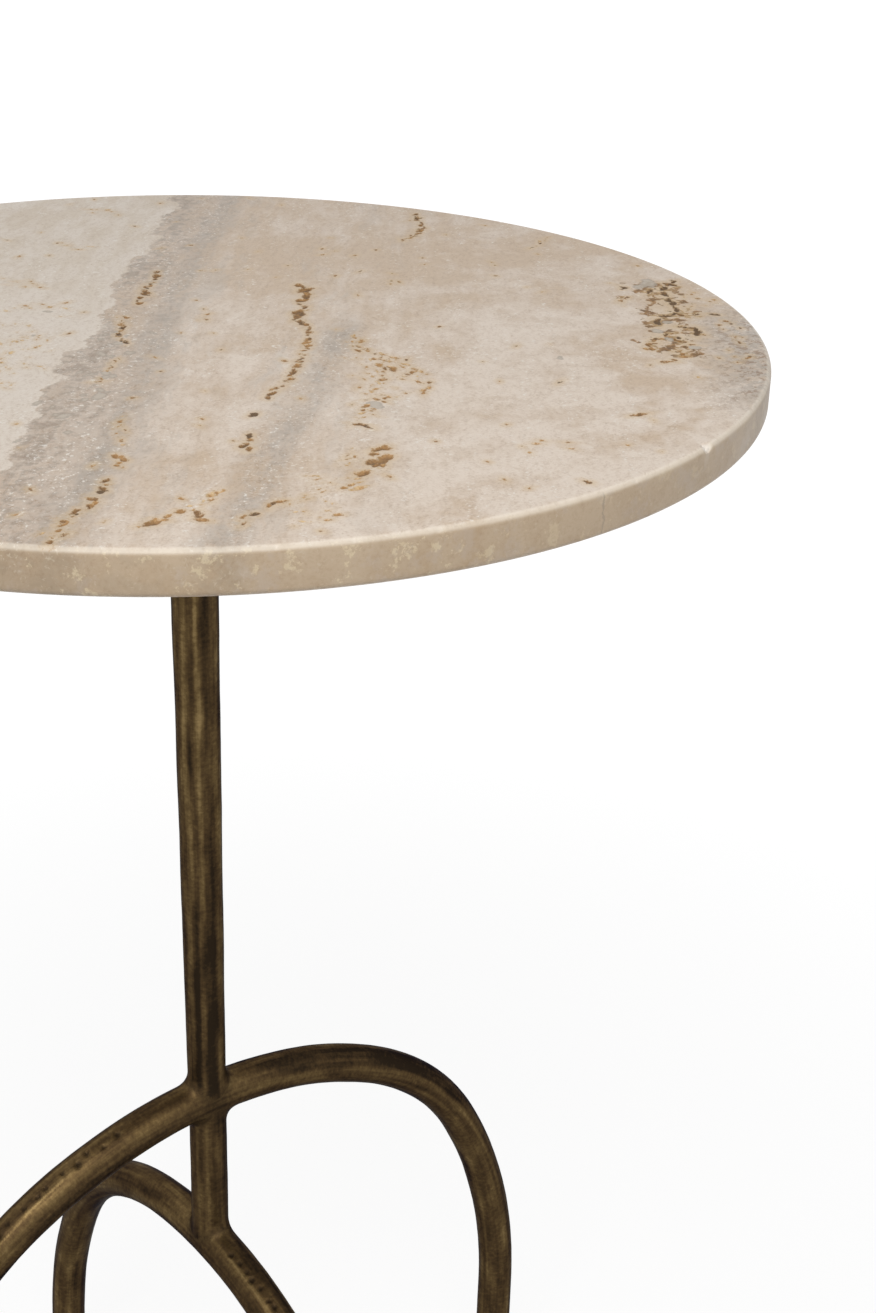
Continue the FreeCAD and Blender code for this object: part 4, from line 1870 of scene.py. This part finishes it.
@dataclass
class Upright:
    """A straight round bar on the table's axis, tapered if its ends differ."""

    node: str
    foot_radius: float
    head_radius: float
    bands: Bands
    spigot_radius: float | None = None
    spigot_length: float = 0.0
    sides: int = 72
    row_height: float = 0.0015
    skin_share: float = 0.9
    sharp: float = 40.0

    def build(self, forging: Forging, material: Material) -> None:
        """Models the bar and puts it in the CAD node's place.

        Args:
            forging: the marks that it gets.
            material: the finish that it wears.
        """
        low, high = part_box(self.node)
        length = high.z - low.z - self.spigot_length
        bar = Workpiece.cylinder(self.node + "_bar", self.foot_radius, (0, 0, low.z), length, self.sides)
        head = bar.points()[:, 2] > low.z + length / 2
        growth = self.head_radius / self.foot_radius
        with bar.editing(Pick.POINTS, head):
            bpy.ops.transform.resize(value=(growth, growth, 1), center_override=(0, 0, low.z + length))
        bar.cut_rows(length, round(length / self.row_height))
        if self.spigot_radius:
            self.turn_spigot(bar, low.z + length)
        points = bar.points()
        reach = np.maximum(off_axis(points), TINY)
        skin = (reach > self.foot_radius * self.skin_share) & (points[:, 2] < low.z + length + TOUCH)
        bar.store("grain", points)
        bar.store("patina_and_crevice_shade", np.zeros(len(points)))
        bar.store("rub_and_light", RubbedBand.rub_and_light_upright(self.bands, points))
        push = np.where(skin, forging.marks(points), 0) / reach
        points[:, :2] += points[:, :2] * push[:, None]
        bar.move_to(points)
        bar.smooth(self.sharp)
        bar.hand_over(material, TABLE_BODY, self.node, "antique_brass")

    def turn_spigot(self, bar: Workpiece, shoulder_z: float) -> None:
        """Insets the head and draws the spigot up through the plate.

        Args:
            bar: the bar with its rows.
            shoulder_z: the height of the head's face.
        """
        top = bar.face_rows("center")[:, 2] > shoulder_z - TOUCH
        with bar.editing(Pick.FACES, top):
            bpy.ops.mesh.inset(thickness=self.head_radius - self.spigot_radius, depth=0.0)
            bar.extrude((0, 0, self.spigot_length))


@dataclass
class PlateWeld:
    """The face of the bead between the stem and the plate, with the ripples of its laying."""

    node: str = "plate_weld"
    ripples: int = 26
    ripple_height: float = 0.00035
    ripple_lag: float = 0.25
    unevenness: float = 0.06
    uneven_size: float = 0.004
    patina_and_crevice_shade: float = 0.3
    rows: int = 8
    steps: int = 208
    sharp: float = 60.0

    def build(self, stem_radius: float, material: Material) -> None:
        """Models the bead and puts it in the CAD node's place.

        Args:
            stem_radius: the radius of the stem's head.
            material: the finish that it wears.
        """
        low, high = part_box(self.node)
        leg = high.z - low.z
        bead = Workpiece.ring("plate_weld_bead", high.x, (0, 0, high.z), self.steps)
        with bead.editing(Pick.POINTS, bead.everything()):
            for _ in range(self.rows):
                bead.extrude((0, 0, -leg / self.rows))
        points = bead.points()
        turn = (high.z - points[:, 2]) / leg * math.pi / 2
        around = np.arctan2(points[:, 1], points[:, 0])
        phase = around * self.ripples / (2 * math.pi) + self.ripple_lag * np.cos(turn * 2)
        phase += self.unevenness * ripple(points / self.uneven_size)
        swell = (phase - np.floor(phase)) * np.sin(np.clip(turn * 2, 0, math.pi)) * self.ripple_height
        reach = np.maximum(high.x - leg * np.sin(turn), stem_radius) + swell
        points[:, :2] *= (reach / high.x)[:, None]
        points[:, 2] = high.z - leg * (1 - np.cos(turn)) - swell
        bead.move_to(points)
        bead.store("grain", points)
        bead.store("patina_and_crevice_shade", np.full(len(points), self.patina_and_crevice_shade))
        bead.store("rub_and_light", np.zeros(len(points)))
        bead.mend_normals()
        bead.smooth(self.sharp)
        bead.hand_over(material, TABLE_BODY, self.node, "antique_brass")


class Side(Enum):
    """The four feet, by where they stand."""

    RIGHT = "right"
    LEFT = "left"
    REAR = "rear"
    FRONT = "front"


@dataclass
class LevellingGlides:
    """Four screw-in glides: a nylon base with grip flutes on a threaded steel stud."""

    first: Side = Side.RIGHT
    base_round: float = 0.0012
    base_rows: int = 4
    base_sides: int = 72
    base_sharp: float = 40.0
    flute_depth: float = 0.0003
    flutes: int = 18
    sole_normal: float = -0.99
    sole_inset: float = 0.0016
    sole_recess: float = 0.0006
    stud_radius: float = 0.003
    stud_sides: int = 32
    stud_sharp: float = 50.0
    pitch: float = 0.001
    thread_depth: float = 0.00055
    thread_flank: Span = (0.1, 0.9)
    crest_slack: float = 0.00004
    rows_per_turn: int = 6

    def build(self, nylon: Material, steel: Material) -> None:
        """Models one glide and copies it under each leg.

        Args:
            nylon: the finish of the bases.
            steel: the finish of the studs.
        """
        pad = self.base()
        stud = self.stud()
        glides = [(self.first, pad, stud)]
        for side in Side:
            if side is self.first:
                continue
            shift = self.middle(side) - self.middle(self.first)
            base = pad.copy("glide_base_" + side.value, shift)
            glides.append((side, base, stud.copy("glide_thread_" + side.value, shift)))
        for side, base, thread in glides:
            body = "glide_" + side.value
            base.hand_over(nylon, body, "glide_pad_" + side.value, "glide_nylon")
            thread.hand_over(steel, body, "glide_stud_" + side.value, "zinc_steel")

    @staticmethod
    def middle(side: Side) -> Vector:
        """The middle of one foot's pad."""
        low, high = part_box("glide_pad_" + side.value)
        return (low + high) / 2

    def base(self) -> Workpiece:
        """The first nylon base: rounded rims, grip flutes round its side and a recessed sole.

        Returns:
            The base.
        """
        low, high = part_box("glide_pad_" + self.first.value)
        middle = self.middle(self.first)
        radius = (high.x - low.x) / 2
        height = high.z - low.z
        foot = (middle.x, middle.y, low.z)
        pad = Workpiece.cylinder("glide_base_" + self.first.value, radius, foot, height, self.base_sides)
        pad.round_rims(height, self.base_round, self.base_rows)
        sole = pad.face_rows("normal")[:, 2] < self.sole_normal
        sole &= pad.face_rows("center")[:, 2] < low.z + TOUCH
        with pad.editing(Pick.FACES, sole):
            bpy.ops.mesh.inset(thickness=self.sole_inset, depth=0.0)
            bpy.ops.mesh.inset(thickness=self.sole_recess, depth=-self.sole_recess)
        points = pad.points()
        away = points[:, :2] - np.array(middle[:2])
        reach = np.linalg.norm(away, axis=1)
        turn = np.arctan2(away[:, 1], away[:, 0])
        wall = fade(reach, radius - self.base_round, radius)
        share = 1 - wall * self.flute_depth * (0.5 - 0.5 * np.cos(turn * self.flutes)) / radius
        points[:, :2] = np.array(middle[:2]) + away * share[:, None]
        pad.move_to(points)
        pad.smooth(self.base_sharp)
        return pad

    def stud(self) -> Workpiece:
        """The first threaded stud, its thread cut as a rise and fall that winds round it.

        Returns:
            The stud.
        """
        low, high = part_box("glide_stud_" + self.first.value)
        middle = (low + high) / 2
        foot_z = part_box("glide_pad_" + self.first.value)[1].z - self.pitch
        radius = self.stud_radius - self.crest_slack
        height = high.z - foot_z
        foot = (middle.x, middle.y, foot_z)
        stud = Workpiece.cylinder("glide_thread_" + self.first.value, radius, foot, height, self.stud_sides)
        stud.cut_rows(height, round(height / self.pitch * self.rows_per_turn))
        points = stud.points()
        away = points[:, :2] - np.array(middle[:2])
        turn = np.arctan2(away[:, 1], away[:, 0]) / (2 * math.pi)
        phase = (points[:, 2] - foot_z) / self.pitch - turn
        groove = 2 * np.abs(phase - np.floor(phase) - 0.5)
        groove = np.maximum(fade(groove, *self.thread_flank), fade(points[:, 2], high.z - self.pitch, high.z))
        share = 1 - groove * self.thread_depth / radius
        points[:, :2] = np.array(middle[:2]) + away * share[:, None]
        stud.move_to(points)
        stud.smooth(self.stud_sharp)
        return stud


@dataclass(frozen=True)
class SoftBox:
    """A square studio lamp, aimed at a point."""

    name: str
    place: Size
    aim: Size
    size: float
    power: float

    def hang(self) -> None:
        """Adds the lamp."""
        lamp = bpy.data.lights.new(self.name, "AREA")
        lamp.shape = "SQUARE"
        lamp.size = self.size
        lamp.energy = self.power
        holder = bpy.data.objects.new(self.name, lamp)
        bpy.context.scene.collection.objects.link(holder)
        holder.location = self.place
        holder.rotation_euler = (Vector(self.aim) - Vector(self.place)).to_track_quat("-Z", "Y").to_euler()


@dataclass(frozen=True)
class PhotoCamera:
    """The camera of the photograph, as it stands to the table's axis and upper face."""

    frame_px: tuple[int, int] = (876, 1313)
    focal_px: float = 1985.916
    axis_px: Span = (438.0, 600.0)
    turn: float = 38.8
    pitch: float = 24.255
    roll: float = 1.723
    to_the_right: float = 0.08926
    back: float = 0.66371
    above_top: float = 0.19766
    sensor: float = 36.0
    near_clip: float = 0.01

    def set_up(self, top_z: float) -> None:
        """Adds the camera and makes it the scene's own.

        Args:
            top_z: the height of the table's upper face.
        """
        data = bpy.data.cameras.new("photo_camera")
        long_side = max(self.frame_px)
        data.sensor_width = self.sensor
        data.lens = self.focal_px / long_side * self.sensor
        data.shift_x = (self.frame_px[0] / 2 - self.axis_px[0]) / long_side
        data.shift_y = (self.axis_px[1] - self.frame_px[1] / 2) / long_side
        data.clip_start = self.near_clip
        camera = bpy.data.objects.new("photo_camera", data)
        bpy.context.scene.collection.objects.link(camera)
        stand = Matrix.Translation((self.to_the_right, -self.back, top_z + self.above_top))
        tilt = Matrix.Rotation(math.radians(90 - self.pitch), 4, "X")
        camera.matrix_world = (Matrix.Rotation(math.radians(-self.turn), 4, "Z") @ stand @ tilt
                               @ Matrix.Rotation(math.radians(self.roll), 4, "Z"))
        bpy.context.scene.camera = camera


@dataclass
class Studio:
    """A white floor and room with soft lamps."""

    floor_size: float = 12.0
    floor_paint: Colour = (0.9, 0.9, 0.9, 1.0)
    floor_roughness: float = 0.9
    floor_glow: float = 0.82
    floor_white: float = 1.075
    shadow_reach: Span = (0.3, 1.4)
    room_light: float = 0.30
    lamps: tuple[SoftBox, ...] = (
        SoftBox("key", (-0.68, -0.82, 1.55), (0.0, -0.05, 0.5), 1.0, 15.5),
        SoftBox("fill", (0.75, -1.35, 1.2), (0.0, 0.0, 0.35), 0.9, 2.0),
        SoftBox("back", (-0.6, 1.25, 1.7), (0.0, 0.0, 0.5), 1.0, 2.0),
    )

    def build(self) -> None:
        """Sets up the floor, the room's light and the lamps."""
        bpy.context.scene.view_settings.view_transform = "Standard"
        for lamp in self.lamps:
            lamp.hang()
        self.floor()
        self.room()

    @staticmethod
    def seen(surface: Surface) -> Value:
        """1 where the floor or the room is looked at, directly, by reflection or through glass.

        Args:
            surface: the material or world under construction.

        Returns:
            The share, 0 or 1.
        """
        camera = surface.node("ShaderNodeLightPath", output="Is Camera Ray")
        mirrored = camera.most(camera.sibling("Is Glossy Ray"))
        return mirrored.most(camera.sibling("Is Transmission Ray"))

    def floor(self) -> None:
        """The white floor, which keeps a faint shadow round the table."""
        Workpiece.clear_bench()
        bpy.ops.mesh.primitive_plane_add(size=self.floor_size)
        floor = bpy.context.active_object
        floor.name = "studio_floor"
        paint = Surface("studio_floor")
        paint.dressed(Base_Color=self.floor_paint, Roughness=self.floor_roughness, Specular_IOR_Level=0.0)
        glow = paint.node("ShaderNodeEmission", sockets={"Color": WHITE, "Strength": self.floor_white})
        lit = Value(paint, paint.shader.outputs[0])
        reach = paint.reach(paint.node("ShaderNodeTexCoord", output="Object"))
        far = paint.step(reach, *self.shadow_reach)
        share = self.seen(paint) * (self.floor_glow + (1 - self.floor_glow) * far)
        mixed = paint.node("ShaderNodeMixShader", sockets={0: share, 1: lit, 2: glow})
        paint.feed(paint.tree.nodes["Material Output"].inputs["Surface"], mixed)
        floor.data.materials.append(paint.material)

    def room(self) -> None:
        """The room: white to look at, a dimmer grey as a light."""
        world = bpy.data.worlds.new("studio_room")
        bpy.context.scene.world = world
        world.use_nodes = True
        room = Surface(world.name, world.node_tree)
        background = world.node_tree.nodes["Background"]
        room.feed(background.inputs["Strength"], self.seen(room) * (1 - self.room_light) + self.room_light)
        room.feed(background.inputs["Color"], WHITE)


@dataclass
class SideTable:
    """The whole table: stone, frame, fittings and glides, each in its finish."""

    stem_head_radius: float = 0.00915
    stem_foot_radius: float = 0.0078
    link_radius: float = 0.0077
    plate_thickness: float = 0.005
    spigot_radius: float = 0.006
    upper_radii: Size = (0.170, 0.133, 0.251)
    upper_turns: Span = (30.0, 63.4)
    upper_dents: tuple[DentRow, ...] = (DentRow(-0.040, -0.200, -16.0, 26),)
    lower_radii: Size = (0.155, 0.115, 0.226)
    lower_turns: Span = (21.4, 62.7)
    lower_dents: tuple[DentRow, ...] = (DentRow(-0.018, -0.120, -10.0, 21),)
    # Stripes of rubbed patina that also stand for painted highlights, reflections and shade on the bars
    stem_bands: Bands = stripes(
        (-155.0, 9.0, 0.35), (-139.0, 9.0, -0.5), (-122.0, 6.0, 0.55), (-97.0, 13.0, -0.75),
        (-70.0, 9.0, 0.2), (-30.0, 12.0, -0.5), (15.0, 10.0, 0.5), (60.0, 14.0, -0.6),
        (95.0, 9.0, 0.5), (135.0, 12.0, -0.6), (170.0, 10.0, 0.3),
        (-120.0, 60.0, -0.4, 0.23, 0.37), (-120.0, 60.0, 0.2, 0.39, 0.52),
    )
    link_bands: Bands = stripes(
        (-155.0, 9.0, 0.2), (-125.0, 8.0, 0.45), (-97.0, 12.0, -0.5), (-60.0, 14.0, -0.3), (15.0, 10.0, 0.4),
        (95.0, 12.0, -0.4),
    )
    upper_bands: Bands = stripes(
        (-31.0, 3.5, 0.9, -0.40, -0.062), (-52.0, 9.0, 0.28, -0.40, -0.012),
        (-13.0, 9.0, 0.1, -0.40, -0.030), (-95.0, 14.0, -0.7, -0.15, -0.020),
        (-55.0, 11.0, -1.0, 0.090, 0.138), (-80.0, 8.0, 0.25, 0.030, 0.40),
        (-45.0, 45.0, -0.5, 0.012, 0.150), (-25.0, 16.0, -0.5, 0.020, 0.40),
        (140.0, 14.0, 0.5, -0.40, 0.40), (60.0, 14.0, -0.6, -0.40, 0.40),
    )
    lower_bands: Bands = stripes(
        (-30.0, 6.0, 1.0, -0.40, -0.012), (20.0, 16.0, -0.7, -0.40, -0.012),
        (-65.0, 14.0, -0.4, -0.40, -0.012), (-100.0, 12.0, 0.4, 0.05, 0.40),
        (-50.0, 12.0, -0.4, 0.012, 0.40), (110.0, 14.0, 0.5, -0.40, 0.40),
    )
    bar_brass: Material = field(init=False)
    plate_brass: Material = field(init=False)
    steel: Material = field(init=False)
    nylon: Material = field(init=False)

    def __post_init__(self) -> None:
        """Makes the finishes."""
        brass = AntiqueBrass()
        self.bar_brass = brass.material("antique_brass_bar", along_bar=True)
        self.plate_brass = brass.material("antique_brass_plate", along_bar=False)
        self.steel = ZINC_STEEL.material()
        self.nylon = GLIDE_NYLON.material()

    def build(self) -> None:
        """Builds the pieces in order."""
        StoneTop().build(Travertine().material())
        self.build_frame()
        PlateWeld().build(self.stem_head_radius, self.plate_brass)
        LevellingGlides().build(self.nylon, self.steel)
        self.dress_fittings()

    def build_frame(self) -> None:
        """Builds the two arches and the two uprights."""
        stem_foot = Collar(self.stem_foot_radius, 1, self.stem_bands)
        link_head = Collar(self.link_radius, -1, self.link_bands)
        link_foot = Collar(self.link_radius, 1, self.link_bands)
        bars = (
            Arch("upper_arch", Plane.ALONG_X, self.upper_radii, self.upper_turns, (stem_foot, link_head),
                 self.upper_dents, self.upper_bands),
            Arch("lower_arch", Plane.ALONG_Y, self.lower_radii, self.lower_turns, (link_foot,),
                 self.lower_dents, self.lower_bands),
            Upright("stem", self.stem_foot_radius, self.stem_head_radius, self.stem_bands, self.spigot_radius,
                    self.plate_thickness),
            Upright("stem_link", self.link_radius, self.link_radius, self.link_bands),
        )
        forging = Forging()
        for bar in bars:
            bar.build(forging, self.bar_brass)

    def dress_fittings(self) -> None:
        """Gives the fittings that keep their CAD shape their finishes."""
        finishes = {
            "mounting_plate": self.plate_brass,
            "plate_cushion": CUSHION_FOAM.material(),
            "top_screws": self.steel,
            "top_washers": self.steel,
            "top_inserts": INSERT_BRASS.material(),
        }
        for node, material in finishes.items():
            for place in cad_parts[node].material_slots:
                place.material = material
            log.info("%s: dressed in %s", node, material.name)


def main() -> None:
    """Builds the table, its studio and the camera."""
    SideTable().build()
    Studio().build()
    PhotoCamera().set_up(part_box("travertine_top")[1].z)


if __name__ == "__main__":
    main()
